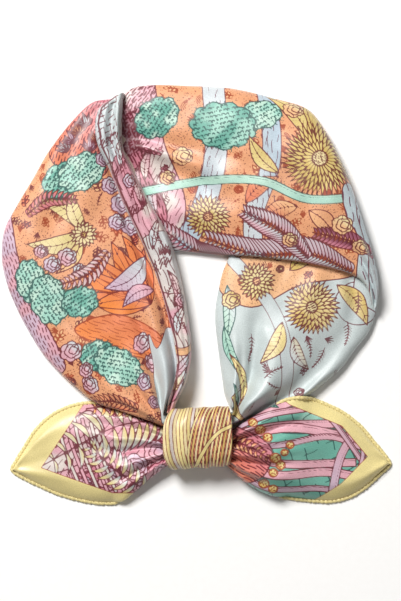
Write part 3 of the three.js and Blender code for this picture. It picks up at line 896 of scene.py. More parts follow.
# %% [markdown]
# ## From grids to thin shells
# Each grid becomes one mesh. The folded stretches are tubes, open at their ends, so a coarse
# lining is set inside and joined to the skin by a rim at each end. The corners are closed all
# round. The flat place of each point is kept as a UV map in millimetres, so that the weave
# and the print turn with the silk wherever it bends.

# %% Number the corners of the faces
def ring_quads(rows, columns, closed):
    """Quads of a grid of rings, each corner as a row and a column of the grid."""
    last = rows if closed else rows - 1
    i, j = (axis.ravel() for axis in np.meshgrid(np.arange(last), np.arange(columns), indexing="ij"))
    corners = [(i, j), (i, j + 1), (i + 1, j + 1), (i + 1, j)]
    return np.array(corners).transpose(2, 0, 1)


def flat_numbers(quads, rows, columns):
    """The vertex number of each corner of the quads."""
    return (quads[..., 0] % rows) * columns + quads[..., 1] % columns


def end_rims(cloth, start):
    """Faces that join each end of a skin to its lining, or close it where it has none."""
    rows, columns = cloth.points.shape[:2]
    rims = []
    for row, sense in ((0, 1), (rows - 1, -1)):
        if cloth.lining is None:
            ring = [row * columns + j for j in range(columns)]
            rims.append(ring[:: -sense])
            continue
        count = cloth.lining[1].shape[1]
        base = start + (0 if row == 0 else (len(cloth.lining[0]) - 1) * count)
        for k in range(count):
            step = range(k * LINING_STEP, (k + 1) * LINING_STEP + 1)
            outer = [row * columns + j % columns for j in step]
            inner = [base + (k + 1) % count, base + k]
            rims.append((outer + inner)[::-sense])
    return rims


# %% Build the meshes
def mesh_of(name, cloth):
    """A mesh of a skin, its lining and its rims, with the flat silk as its UV map."""
    rows, columns = cloth.points.shape[:2]
    closed = cloth.flat.shape[0] > rows
    quads = ring_quads(rows, columns, closed)
    faces = [flat_numbers(quads, rows, columns)]
    places = cloth.flat[quads[..., 0], quads[..., 1]].reshape(-1, 2)
    points = cloth.points.reshape(-1, 3)
    rims = []
    if cloth.lining is not None:
        inside = cloth.lining[1]
        inner = ring_quads(*inside.shape[:2], False)
        faces.append(flat_numbers(inner, *inside.shape[:2])[:, ::-1] + len(points))
        corners = inside[inner[..., 0] % len(inside), inner[..., 1] % inside.shape[1], :2]
        places = np.vstack([places, corners[:, ::-1].reshape(-1, 2)])
        rims = end_rims(cloth, len(points))
        points = np.vstack([points, inside.reshape(-1, 3)])
    elif not closed:
        rims = end_rims(cloth, 0)
    quad_list = np.vstack(faces)
    if cloth.facing < 0:
        quad_list = quad_list[:, ::-1]
        places = places.reshape(-1, 4, 2)[:, ::-1].reshape(-1, 2)
        rims = [rim[::-1] for rim in rims]
    loops = np.concatenate([quad_list.ravel()] + [np.array(rim) for rim in rims])
    sizes = np.concatenate([np.full(len(quad_list), 4), [len(rim) for rim in rims]]).astype(int)
    rim_places = points[loops[quad_list.size :], :2]
    mesh = bpy.data.meshes.new(name)
    mesh.vertices.add(len(points))
    mesh.vertices.foreach_set("co", to_model(points).astype(np.float32).ravel())
    mesh.loops.add(len(loops))
    mesh.loops.foreach_set("vertex_index", loops.astype(np.int32))
    mesh.polygons.add(len(sizes))
    mesh.polygons.foreach_set("loop_start", np.append(0, np.cumsum(sizes)[:-1]).astype(np.int32))
    mesh.update(calc_edges=True)
    mesh.polygons.foreach_set("use_smooth", np.ones(len(sizes), bool))
    silk = mesh.uv_layers.new(name="Flat silk")
    silk.data.foreach_set("uv", np.vstack([places, rim_places]).astype(np.float32).ravel())
    mesh.validate()
    return mesh


# %% [markdown]
# ## Dyes and lines
# The silk is screen printed: flat dyes side by side, with a dark red line drawn round every
# shape and fine strokes inside it. Here each stretch is printed on its flat cloth, in cells
# of a quarter of a millimetre, and the mesh then keeps four things at each point: the dye, the
# dye of the nearest line, the distance to that line, and how strongly it is stippled. The
# material turns the distance into a line, which stays sharp between the points. A picture on
# the UV map would be simpler, but would need an image file.

# %% Mix the dyes
CELL = 0.25
LINE = 0.36  # half the width of a printed line
LINE_REACH = 1.2  # how far from a line its distance is kept
NO_LINE = 2.5  # the distance that stands for no line near
DYE_DEPTH = 0.93  # dyes are this much deeper on the satin than their swatches
DYES = {
    "peach": (229, 163, 121), "apricot": (236, 184, 137), "orange": (240, 140, 66),
    "lilac": (205, 178, 196), "pink": (224, 170, 182), "rose": (204, 128, 146),
    "aqua": (160, 208, 192), "mint": (190, 222, 206), "teal": (112, 176, 160),
    "gold": (212, 182, 104), "cream": (232, 214, 164), "straw": (226, 206, 140),
    "silver": (197, 207, 207), "mist": (206, 212, 216), "shell": (220, 208, 202),
    "yellow": (234, 217, 152), "sky": (178, 196, 210), "coral": (224, 130, 96),
    # The dull purple dye on the next line is only for the painted shade in the back's hollow.
    "shade_mauve": (150, 106, 116), "maroon": (104, 28, 42), "plum": (106, 44, 68),
    "pine": (36, 82, 78), "rust": (158, 66, 38),
}


def dye(name):
    """A dye as linear red, green and blue."""
    value = np.array(DYES[name]) / 255
    return DYE_DEPTH * np.where(value <= 0.04045, value / 12.92, ((value + 0.055) / 1.055) ** 2.4)


def blotches(places, size, phase):
    """Soft blotches between 0 and 1."""
    x, y = places[..., 0] / size, places[..., 1] / size
    swell = np.sin(x + 1.7 * np.sin(0.6 * y + phase)) * np.sin(1.1 * y + 1.3 * np.sin(0.7 * x - phase))
    return smooth_step(-0.35, 0.55, swell + 0.3 * np.sin(2.3 * x - 1.9 * y + phase))


def hashed(i, j, seed):
    """A number between 0 and 1 for each cell, the same in every run."""
    value = np.sin(i * 12.9898 + j * 78.233 + seed * 37.719) * 43758.5453
    return value - np.floor(value)


def turned(x, y, turn):
    """Places measured along axes that are turned by an angle."""
    return x * np.cos(turn) + y * np.sin(turn), y * np.cos(turn) - x * np.sin(turn)


print(len(DYES), "dyes, and peach is", np.round(dye("peach"), 2))


# %% Make a cloth to print on
class Silk:
    """A flat cloth to print on: its dyes, its lines and how far each cell is from a line."""

    def __init__(self, low, high, ground, dots=0.0):
        self.low = np.array(low, float)
        self.shape = ((np.array(high) - self.low) / CELL).astype(int)
        self.dyes = np.tile(dye(ground), (*self.shape, 1))
        self.line_dyes = np.tile(dye("maroon"), (*self.shape, 1))
        self.away = np.full(self.shape, NO_LINE)
        self.dots = np.full(self.shape, float(dots))

    def window(self, places, margin):
        """The cells round some places, and where they lie."""
        low = np.clip((places.min(0) - margin - self.low) / CELL, 0, self.shape).astype(int)
        high = np.clip((places.max(0) + margin - self.low) / CELL + 1, 0, self.shape).astype(int)
        x, y = (self.low[k] + (np.arange(low[k], high[k]) + 0.5) * CELL for k in (0, 1))
        cut = (slice(low[0], high[0]), slice(low[1], high[1]))
        return cut, np.stack(np.meshgrid(x, y, indexing="ij"), -1)

    def inside(self, outline):
        """The cells round an outline, where they lie, and which are inside it."""
        cut, places = self.window(outline, 0)
        within = np.zeros(places.shape[:2], bool)
        for (x0, y0), (x1, y1) in zip(outline, np.roll(outline, -1, axis=0)):
            if y0 == y1:
                continue
            crosses = (places[..., 1] > y0) != (places[..., 1] > y1)
            within ^= crosses & (places[..., 0] < x0 + (places[..., 1] - y0) * (x1 - x0) / (y1 - y0))
        return cut, places, within

    def patch(self, outline, fill, tint=None, ink="maroon", weight=1.0, dots=0.0, blotch=0.0):
        """A filled shape, tinted towards its upper right or in blotches, with a line round it."""
        outline = np.asarray(outline, float)
        cut, places, within = self.inside(outline)
        colours = np.tile(dye(fill), (*within.shape, 1))
        if tint is not None:
            reach = (places - outline.min(0)) / np.maximum(np.ptp(outline, axis=0), 1)
            share = smooth_step(0.15, 0.9, reach.mean(-1))[..., None]
            if blotch:
                share = blotches(places, blotch, outline[0, 0])[..., None]
            colours = dye(fill) * (1 - share) + dye(tint) * share
        self.dyes[cut] = np.where(within[..., None], colours, self.dyes[cut])
        self.away[cut] = np.where(within, NO_LINE, self.away[cut])
        self.dots[cut] = np.where(within, dots, self.dots[cut])
        if weight:
            self.line(np.vstack([outline, outline[:1]]), weight, ink)

    def line(self, points, weight=1.0, ink="maroon"):
        """A line through points."""
        points = np.asarray(points, float)
        for start, end in zip(points[:-1], points[1:]):
            cut, places = self.window(np.array([start, end]), LINE_REACH)
            if not places.size:
                continue
            run = end - start
            share = ((places - start) @ run / max(run @ run, 1e-9)).clip(0, 1)[..., None]
            gap = np.linalg.norm(places - start - share * run, axis=-1) / weight
            self.mark(cut, gap, ink)

    def mark(self, cut, gap, ink):
        """Keep the nearer of the lines already there and a new one."""
        nearer = gap < self.away[cut]
        self.away[cut] = np.where(nearer, gap, self.away[cut])
        self.line_dyes[cut] = np.where(nearer[..., None], dye(ink), self.line_dyes[cut])

    def strokes(self, outline, turn, pitch, dash, weight=0.7, ink="maroon"):
        """Short strokes in staggered rows inside a shape."""
        cut, places, within = self.inside(np.asarray(outline, float))
        x, y = turned(places[..., 0], places[..., 1], turn)
        y = y + 0.35 * np.sin(0.5 * x)
        row = np.floor(y / pitch)
        period = dash * 1.7
        x = (x + row * 0.62 * period + 0.8 * np.sin(row * 2.3)) % period - period / 2
        y = y % pitch - pitch / 2
        gap = np.hypot(np.maximum(np.abs(x) - dash / 2, 0), y) / weight
        self.mark(cut, np.where(within, gap, NO_LINE), ink)

    def flecks(self, outline, turn, pitch, weight=0.9, ink="maroon", curl=1.0):
        """Small curved marks inside a shape, each a little turned and shifted."""
        cut, places, within = self.inside(np.asarray(outline, float))
        x, y = turned(places[..., 0], places[..., 1], turn)
        j = np.floor(y / pitch)
        x = x + 0.5 * pitch * (j % 2)
        i = np.floor(x / pitch)
        x = x - (i + 0.5) * pitch + (hashed(i, j, 1) - 0.5) * 0.45 * pitch
        y = y - (j + 0.5) * pitch + (hashed(i, j, 2) - 0.3) * 0.4 * pitch
        x, y = turned(x, y, (hashed(i, j, 3) - 0.5) * 1.7)
        size = pitch * (0.24 + 0.12 * hashed(i, j, 4))
        arc = np.abs(np.hypot(x, y * curl) - size)
        ends = np.hypot(np.abs(x) - size, y)
        gap = np.where(y > 0, arc, ends) / weight
        self.mark(cut, np.where(within, gap, NO_LINE), ink)

    def read(self, places):
        """The dyes, line dyes, distances and dots at places on the cloth."""
        spot = ((places - self.low) / CELL - 0.5).clip(0, self.shape - 1.001)
        cell = spot.astype(int)
        share = spot - cell
        (i, j), (u, v) = np.moveaxis(cell, -1, 0), np.moveaxis(share, -1, 0)
        results = []
        for layer in (self.dyes, self.line_dyes, self.away, self.dots):
            a, b = (u[..., None], v[..., None]) if layer.ndim == 3 else (u, v)
            near = layer[i, j] * (1 - b) + layer[i, j + 1] * b
            far = layer[i + 1, j] * (1 - b) + layer[i + 1, j + 1] * b
            results.append(near * (1 - a) + far * a)
        return results


# %% [markdown]
# ## Motifs
# The design is a plain botanical one: pointed leaves, fronds, sprays, round blooms, many
# petalled daisies, leafy bushes and ribbons. Each is a small function of its place, size
# and dyes, so a stretch is printed by listing them, the lowest first.

# %% Draw leaves and what is made of them
pen = np.random.default_rng(1937)


def around(count, phase=0.0):
    """Even angles round a circle."""
    return np.linspace(0, 2 * math.pi, count, endpoint=False) + phase


def leaf(silk, base, tip, width, fill, tint=None, veins=4, bend=0.1, ink="maroon", weight=0.9):
    """A pointed leaf with a rib and veins."""
    base, tip = np.array(base, float), np.array(tip, float)
    along = tip - base
    side = unit(quarter_turn(along))
    share = np.linspace(0, 1, 11)[:, None]
    rib = base + share * along + side * bend * np.linalg.norm(along) * np.sin(math.pi * share)
    half = width / 2 * np.sin(math.pi * share**0.85)
    outline = np.vstack([rib + side * half, (rib - side * half)[-2:0:-1]])
    silk.patch(outline, fill, tint, ink, weight)
    if veins:
        silk.line(rib[:-1], 0.7, ink)
    for k in np.linspace(2, 8, veins).astype(int):
        for way in (1, -1):
            silk.line([rib[k], rib[k] + way * side * half[k] * 0.8 + along * 0.08], 0.5, ink)


def frond(silk, path, reach, fill, pairs, ink="maroon", tint=None, lean=0.8, slim=0.3):
    """A stem with narrow leaflets in pairs."""
    spine = smooth_curve(path, np.linspace(0, 1, pairs + 2))
    along = unit(np.gradient(spine, axis=0))
    side = quarter_turn(along)
    for k in range(pairs, -1, -1):
        size = reach * (0.45 + 0.55 * math.sin(math.pi * (k + 1) / (pairs + 1.5)))
        for way in (1, -1):
            tip = spine[k] + (way * side[k] + lean * along[k]) * size
            leaf(silk, spine[k], tip, size * slim + 0.5, fill, tint, 0, 0.12 * way, ink, 0.75)
    silk.line(spine, 1.0, ink)


def spray(silk, base, turn, spread, length, count, fill, tint=None, width=0.26):
    """Leaves that radiate from one place."""
    for k in range(count):
        angle = turn + spread * (k / (count - 1) - 0.5) + pen.uniform(-0.05, 0.05)
        size = length * (0.75 + 0.25 * math.cos(1.5 * (angle - turn))) * pen.uniform(0.88, 1.08)
        tip = np.array(base) + size * toward(angle)
        leaf(silk, base, tip, size * width, fill, tint, 2, pen.uniform(-0.1, 0.1))


def twig(silk, place, turn, size, fill, ink):
    """A small twig with five leaves."""
    way = toward(turn) * size
    side = quarter_turn(way)
    silk.line([place, place + way * 0.5 + side * 0.05, place + way], 0.8, ink)
    for share, sense in ((0.15, 1), (0.3, -1), (0.5, 1), (0.65, -1)):
        base = place + way * share
        tip = base + way * 0.3 + side * 0.42 * sense
        leaf(silk, base, tip, size * 0.24, fill, None, 0, 0.1, ink, 0.8)
    leaf(silk, place + way * 0.75, place + way * 1.3, size * 0.26, fill, None, 0, 0.1, ink, 0.8)


# %% Draw flowers and bushes
def loop(points, count=48):
    """A smooth closed outline through points."""
    points = np.array(points, float)
    through = np.vstack([points[-1:], points, points[:2]])
    steps = len(through) - 1
    return smooth_curve(through, np.linspace(1 / steps, 1 - 1 / steps, count, endpoint=False))


def oval(centre, reach, squash=1.0, turn=0.0, edge=1.0, count=40):
    """Points round an oval whose edge may waver."""
    angle = around(count)
    x, y = edge * reach * np.cos(angle), edge * reach * squash * np.sin(angle)
    return np.array(centre, float) + np.column_stack(turned(x, y, -turn))


def bloom(silk, centre, size, fill, tint=None, petals=6, ink="plum", squash=0.9, turn=0.0):
    """A full round flower with folded petals."""
    for ring, share in enumerate((1.0, 0.68, 0.38)):
        count = petals - ring
        edge = 0.84 + 0.16 * np.abs(np.sin(count * around(8 * count, turn + ring) / 2))
        middle = np.array(centre, float) + size * 0.1 * ring * toward(turn)
        outline = oval(middle, size * share, squash, turn, edge, 8 * count)
        silk.patch(outline, fill, tint, ink, 0.9)
        for k in range(4, 8 * count, 8):
            inner = middle + (outline[k] - middle) * 0.72
            silk.line([outline[k - 1 : k + 1].mean(0), inner], 0.5, ink)


def daisy(silk, centre, size, fill, heart, rings=3, tint=None):
    """A daisy with rings of slim petals round a stippled heart."""
    centre = np.array(centre)
    for ring in range(rings):
        reach = size * (1 - 0.24 * ring)
        count = int(max(7, 2.2 * reach))
        for angle in around(count, 0.4 * ring + pen.uniform(0, 1)):
            way = toward(angle) * reach
            tip = centre + way * pen.uniform(0.93, 1.03)
            width = 5.2 * reach / count
            leaf(silk, centre + way * 0.2, tip, width, fill, tint, 0, 0.06, weight=0.8)
    button(silk, centre, size * 0.2, heart, None, "maroon", 0.4, 1.2, 0.7)


def button(silk, place, size, fill, tint, ink, turn, pitch, weight, squash=1.0):
    """A round patch with fine flecks."""
    outline = oval(place, size, squash, count=14)
    silk.patch(outline, fill, tint, ink)
    silk.flecks(outline, turn, pitch, weight, ink)


def bush(silk, centre, reach, fill, tint, squash, turn, lumps, pitch=2.3):
    """A leafy bush with a ragged edge."""
    angle = around(5 * lumps)
    edge = 0.9 + 0.12 * np.abs(np.sin(lumps * angle / 2)) + pen.uniform(-0.03, 0.03, len(angle))
    outline = oval(centre, reach, squash, turn, edge, 5 * lumps)
    silk.patch(outline, fill, tint, "pine", blotch=reach / 4)
    silk.flecks(oval(centre, reach * 0.94, squash, turn), turn + 0.3, pitch, 0.95, "pine", 0.8)
    for place in outline[::2]:
        out = unit(place - np.array(centre, float))
        silk.line([place - out * 0.4, place + out * pen.uniform(0.7, 1.5)], 0.7, "pine")


# %% Draw ribbons and what is in line alone
BAND_STEPS = 26


def band(path, width):
    """The outline of a long band along a path."""
    middle = smooth_curve(path, np.linspace(0, 1, BAND_STEPS))
    side = unit(quarter_turn(np.gradient(middle, axis=0)))
    return np.vstack([middle + side * width / 2, (middle - side * width / 2)[::-1]])


def ribbon(silk, path, width, fill, tint=None, ink="maroon", inner=True):
    """A long band with a line along each side, and one along it where asked."""
    outline = band(path, width)
    silk.patch(outline, fill, tint, ink, 0.85)
    if inner:
        near, far = outline[:BAND_STEPS], outline[: BAND_STEPS - 1 : -1]
        silk.line(near * 0.72 + far * 0.28, 0.5, ink)


def sprig(silk, base, turn, length, ink="maroon"):
    """A stem with fine strokes."""
    way = toward(turn)
    side = quarter_turn(way)
    steps = max(int(length / 1.6), 3)
    share = np.arange(steps + 1)[:, None] / steps
    spine = np.array(base) + way * length * share + side * 0.08 * length * np.sin(3 * share)
    silk.line(spine, 0.8, ink)
    for k in range(1, steps):
        size = 0.28 * length * (1 - 0.75 * k / steps)
        for sense in (1, -1):
            silk.line([spine[k], spine[k] + (way * 0.8 + sense * side) * size * 0.7], 0.65, ink)


def fan(silk, place, turn, size, ink):
    """Nested arcs."""
    for share in (1.0, 0.7, 0.42):
        angles = np.linspace(turn - 1.0, turn + 1.0, 9)
        arc = np.column_stack([np.cos(angles), np.sin(angles)]) * size * share
        silk.line(place + arc, 0.75, ink)


def tuft(silk, place, turn, size, ink="maroon"):
    """A tuft of fine blades."""
    place = np.array(place)
    for lean in (-0.6, -0.3, 0.0, 0.3, 0.6):
        way = toward(turn + lean) * size * (1 - 0.5 * abs(lean))
        silk.line([place, place + way * 0.6, place + way + [0.3 * lean, 0.1]], 0.8, ink)


# %% Scatter motifs
def scatter(motif, silk, rows, *looks, **more):
    """One motif again and again: each row has what differs, and the rest is the same."""
    for row in rows:
        motif(silk, *row, *looks, **more)


def sow(silk, outline, spacing, fills, inks, size):
    """Small motifs all over a shape, none in rows."""
    outline = loop(outline)
    low, high = outline.min(0), outline.max(0)
    cut, places, within = silk.inside(outline)
    for x in np.arange(low[0], high[0], spacing):
        for y in np.arange(low[1], high[1], spacing):
            place = np.array([x, y]) + pen.uniform(-0.42, 0.42, 2) * spacing
            cell = ((place - places[0, 0]) / CELL).astype(int)
            if (cell < 0).any() or (cell >= within.shape).any() or not within[tuple(cell)]:
                continue
            kind, turn = pen.integers(6), pen.uniform(0, 2 * math.pi)
            fill, ink = fills[pen.integers(len(fills))], inks[pen.integers(len(inks))]
            reach = size * pen.uniform(0.7, 1.15)
            if kind < 2:
                twig(silk, place, turn, reach * 1.1, fill, ink)
            elif kind == 2:
                bloom(silk, place, reach * 0.52, fill, None, 5, ink, 0.85, turn)
            elif kind == 3:
                fan(silk, place, turn, reach * 0.7, ink)
            elif kind == 4:
                tuft(silk, place, turn, reach * 0.9, ink)
            else:
                sprig(silk, place, turn, reach * 1.3, ink)


silks = {}


def keep_silk(name, silk):
    """Keep a printed cloth under the name of its stretch."""
    silks[name] = silk
    print(name, silk.shape, "cells,", round(100 * (silk.away < LINE).mean()), "% of them inked")


# %% [markdown]
# ## Print each stretch
# On the real silk one large drawing covers the square, and each stretch shows another part of
# it. So each stretch gets a cloth of its own, with the ground and the motifs that suit its
# dyes. The left arm shows the most: stippled peach with green bushes, pale blooms and an
# orange spray. Small motifs are sown first and the large ones go over them, as screens do.

# %% Print the left arm
def print_left_arm():
    """Bushes, blooms and an orange spray on a stippled peach ground."""
    silk = Silk((-130, -100), (20, 130), "peach", 0.75)
    whole = [
        (-118, 20), (-100, 60), (-70, 112), (-44, 112), (-30, 50), (-4, -20), (-6, -74), (-60, -70),
        (-104, -20),
    ]
    sow(silk, whole, 8.5, ("apricot", "coral", "peach"), ("rust", "maroon"), 5.5)
    top = loop([(-78, 72), (-52, 64), (-38, 92), (-48, 120), (-80, 112)])
    silk.patch(top, "coral", "rose", dots=0.3)
    silk.strokes(top, 1.2, 1.6, 3.0, 0.85)
    for k in range(9):
        base = (-70 + 3.1 * k, 78 + 4.5 * (k % 4))
        spray(silk, base, 2.2 - 0.15 * k, 1.7, 8, 5, ("mist", "lilac", "peach")[k % 3])
    outer = [
        (-116, 46), (-104, 46), (-97, 22), (-91, 0), (-78, -22), (-72, -40), (-92, -44), (-122, 0),
    ]
    silk.patch(loop(outer), "lilac", "pink", blotch=6)
    silk.strokes(loop(outer), 1.95, 1.9, 2.6, 0.9)
    leaf(silk, (-60, 34), (-92, 28), 10, "cream", "straw", 7, 0.12)
    leaf(silk, (-60, 34), (-88, 52), 9, "cream", "straw", 6, -0.14)
    leaf(silk, (-60, 34), (-68, 58), 8, "cream", "straw", 5, 0.1)
    leaf(silk, (-62, 32), (-76, 12), 7, "apricot", "straw", 5, 0.12)
    daisy(silk, (-61, 33), 7.5, "cream", "gold", 2)
    bush(silk, (-74, 62), 11, "teal", "aqua", 0.8, 0.9, 7, 2.0)
    bush(silk, (-62, 67), 14, "aqua", "mint", 0.7, 0.5, 9, 2.1)
    scatter(bloom, silk, [
        ((-40, 50), 6.5), ((-46, 60), 5.5), ((-35, 38), 6), ((-43, 40), 5), ((-50, 74), 4.5),
    ], "lilac", "mist")
    spray(silk, (-24, -4), 2.45, 1.5, 41, 7, "orange", "coral", 0.3)
    for turn in (1.9, 2.1, 2.3, 2.5, 2.7, 2.9):
        tip = (-24 + 32 * math.cos(turn), -4 + 32 * math.sin(turn))
        for shift in (-1.2, 0, 1.2):
            bend = (0.5 * (tip[0] - 25), 0.5 * tip[1] - 2 + shift)
            silk.line([(-27, -1 + shift), bend, tip], 0.6, "rust")
    leaf(silk, (-26, 22), (-50, 4), 12, "lilac", "mist", 9, 0.16, "plum")
    leaf(silk, (-22, 4), (-40, -6), 8, "lilac", "pink", 7, -0.16, "plum")
    bush(silk, (-90, 8), 12, "mint", "aqua", 0.7, 1.7, 8, 2.1)
    bush(silk, (-80, -2), 14, "aqua", "mint", 0.75, 1.9, 9, 2.2)
    bush(silk, (-63, -3), 10, "teal", "aqua", 0.85, 0.2, 7, 2.0)
    scatter(bloom, silk, [
        ((-70, 21), 5.5, "pink"), ((-78, 17), 5, "lilac"), ((-63, 14), 4, "mist"),
        ((-84, 24), 4, "pink"),
    ], "mist", ink="maroon")
    flame = loop([(-66, -18), (-44, -10), (-14, -24), (-10, -44), (-26, -34), (-46, -30)])
    silk.patch(flame, "orange", "coral", "rust")
    silk.strokes(flame, -0.35, 1.7, 7, 0.8, "rust")
    bush(silk, (-54, -32), 10, "teal", "mint", 0.8, 0.4, 8, 2.0)
    bush(silk, (-42, -38), 14, "aqua", "mint", 0.7, -0.5, 10, 2.2)
    for place, size, turn in (
        ((-68, -30), 6.5, 0.5), ((-58, -48), 5.5, 2), ((-29, -25), 6, 1), ((-22, -35), 5.5, 2.6),
        ((-60, -40), 4.5, 1),
    ):
        bloom(silk, place, size, "pink", "mist", 6, "maroon", 0.85, turn)
    bloom(silk, (-28, -46), 5.2, "lilac", "mist", 5, "plum", 0.8, 1.2)
    bloom(silk, (-23, -57), 4.6, "lilac", "pink", 5, "plum", 0.8, 0.4)
    frond(silk, [(-48, 24), (-58, 12), (-74, 6)], 5, "shell", 11, "maroon", "pink")
    frond(silk, [(-92, 44), (-80, 52), (-64, 52)], 4.5, "rose", 11, "maroon", "coral")
    frond(silk, [(-34, -62), (-46, -58), (-60, -58)], 5, "coral", 9, "maroon", "peach")
    pleat = [
        (-25, -20), (-19, -27), (-12, -15), (4, -20), (6, -50), (-6, -69), (-18, -70), (-19, -54),
        (-21, -38),
    ]
    # The pleat's silver is its own dye, and its tint, paler towards the upper right, is painted
    # shading across the fold.
    silk.patch(loop(pleat), "silver", "mist", weight=0.7)
    return silk


keep_silk("left_arm", print_left_arm())

# %% [markdown]
# ## The roll's print
# The turned edge shows a pale part of the drawing, with leaves cut off by the fold. Its
# patches run past both rails, because on a steep side the print is taken by its distance
# over the cloth and not by its place in plan.

# %% Print the inner roll
def print_inner_roll():
    """Pale silk with pink leaves and short strokes across the turned edge, and a painted shadow line
    along its left rail.
    """
    silk = Silk((-80, -90), (20, 130), "shell")
    silk.patch(loop([(-62, 118), (-36, 118), (-34, 88), (-40, 70), (-60, 78)]), "mist", "silver")
    silk.strokes(loop([(-58, 114), (-44, 114), (-46, 78), (-58, 84)]), 0.5, 3.0, 4, 0.8)
    length = [(-60, 70), (-30, 74), (4, -20), (4, -90), (-30, -90), (-30, 20)]
    silk.patch(length, "shell", "pink", blotch=5)
    silk.patch(loop([(-46, 72), (-36, 78), (-26, 52), (-36, 44)]), "pink", "rose", weight=0.8)
    silk.patch(loop([(-30, 30), (-12, 34), (-4, 6), (-18, 2)]), "shell", "mist", weight=0.8)
    for place in ((-47, 84), (-42, 68), (-33, 47), (-20, 17)):
        silk.strokes(oval(place, 8.5, 0.34, 0.5), 1.25, 1.25, 4.0, 1.15)
    for x, y, way in ((-39, 78, 1), (-32, 58, -1), (-22, 34, 1), (-12, 6, -1), (-9, -12, 1)):
        fill = ("pink", "mist")[way > 0]
        leaf(silk, (x - 2 * way, y - 9), (x + 4 * way, y + 8), 5, fill, "shell", 5, 0.12 * way)
        sprig(silk, (x + 4 * way, y - 7), 1.6 + 0.4 * way, 8)
    outer = [(-58, 110), (-36, 112), (-28, 60), (-2, -10), (-4, -60), (-18, -60), (-46, 40)]
    silk.strokes(outer, 1.95, 2.6, 9, 0.8)
    scatter(tuft, silk, [
        ((-38, 60), 1.2), ((-35, 60), 1.4), ((-32, 60), 1.6), ((-20, 22), 1.2), ((-17, 22), 1.4),
        ((-14, 22), 1.6), ((-28, 48), 1.2), ((-12, -6), 1.4), ((-9, -6), 1.6),
    ], 6)
    bloom(silk, (-36, 62), 4.4, "lilac", "mist", 5, "maroon")
    bloom(silk, (-8, -2), 4.0, "pink", "mist", 5, "maroon")
    ribbon(silk, [(-20, -24), (-10, -30), (2, -27)], 4, "apricot")
    for k, (y, fill) in enumerate(((-36, "pink"), (-44, "cream"), (-51, "rose"), (-58, "lilac"))):
        leaf(silk, (-16 + k, y - 7), (-3 - 2 * k, y + 6), 6, fill, "mist", 5, -0.12)
    silk.patch([(-22, -60), (-6, -54), (-8, -80), (-22, -80)], "peach", "pink")
    # A thick dark line just inside the left rail is painted shade, for the crevice where the left
    # arm's edge meets the roll.
    silk.line([(row.ax + 0.7, row.ay) for row in INNER_ROLL], 1.7)
    return silk


keep_silk("inner_roll", print_inner_roll())
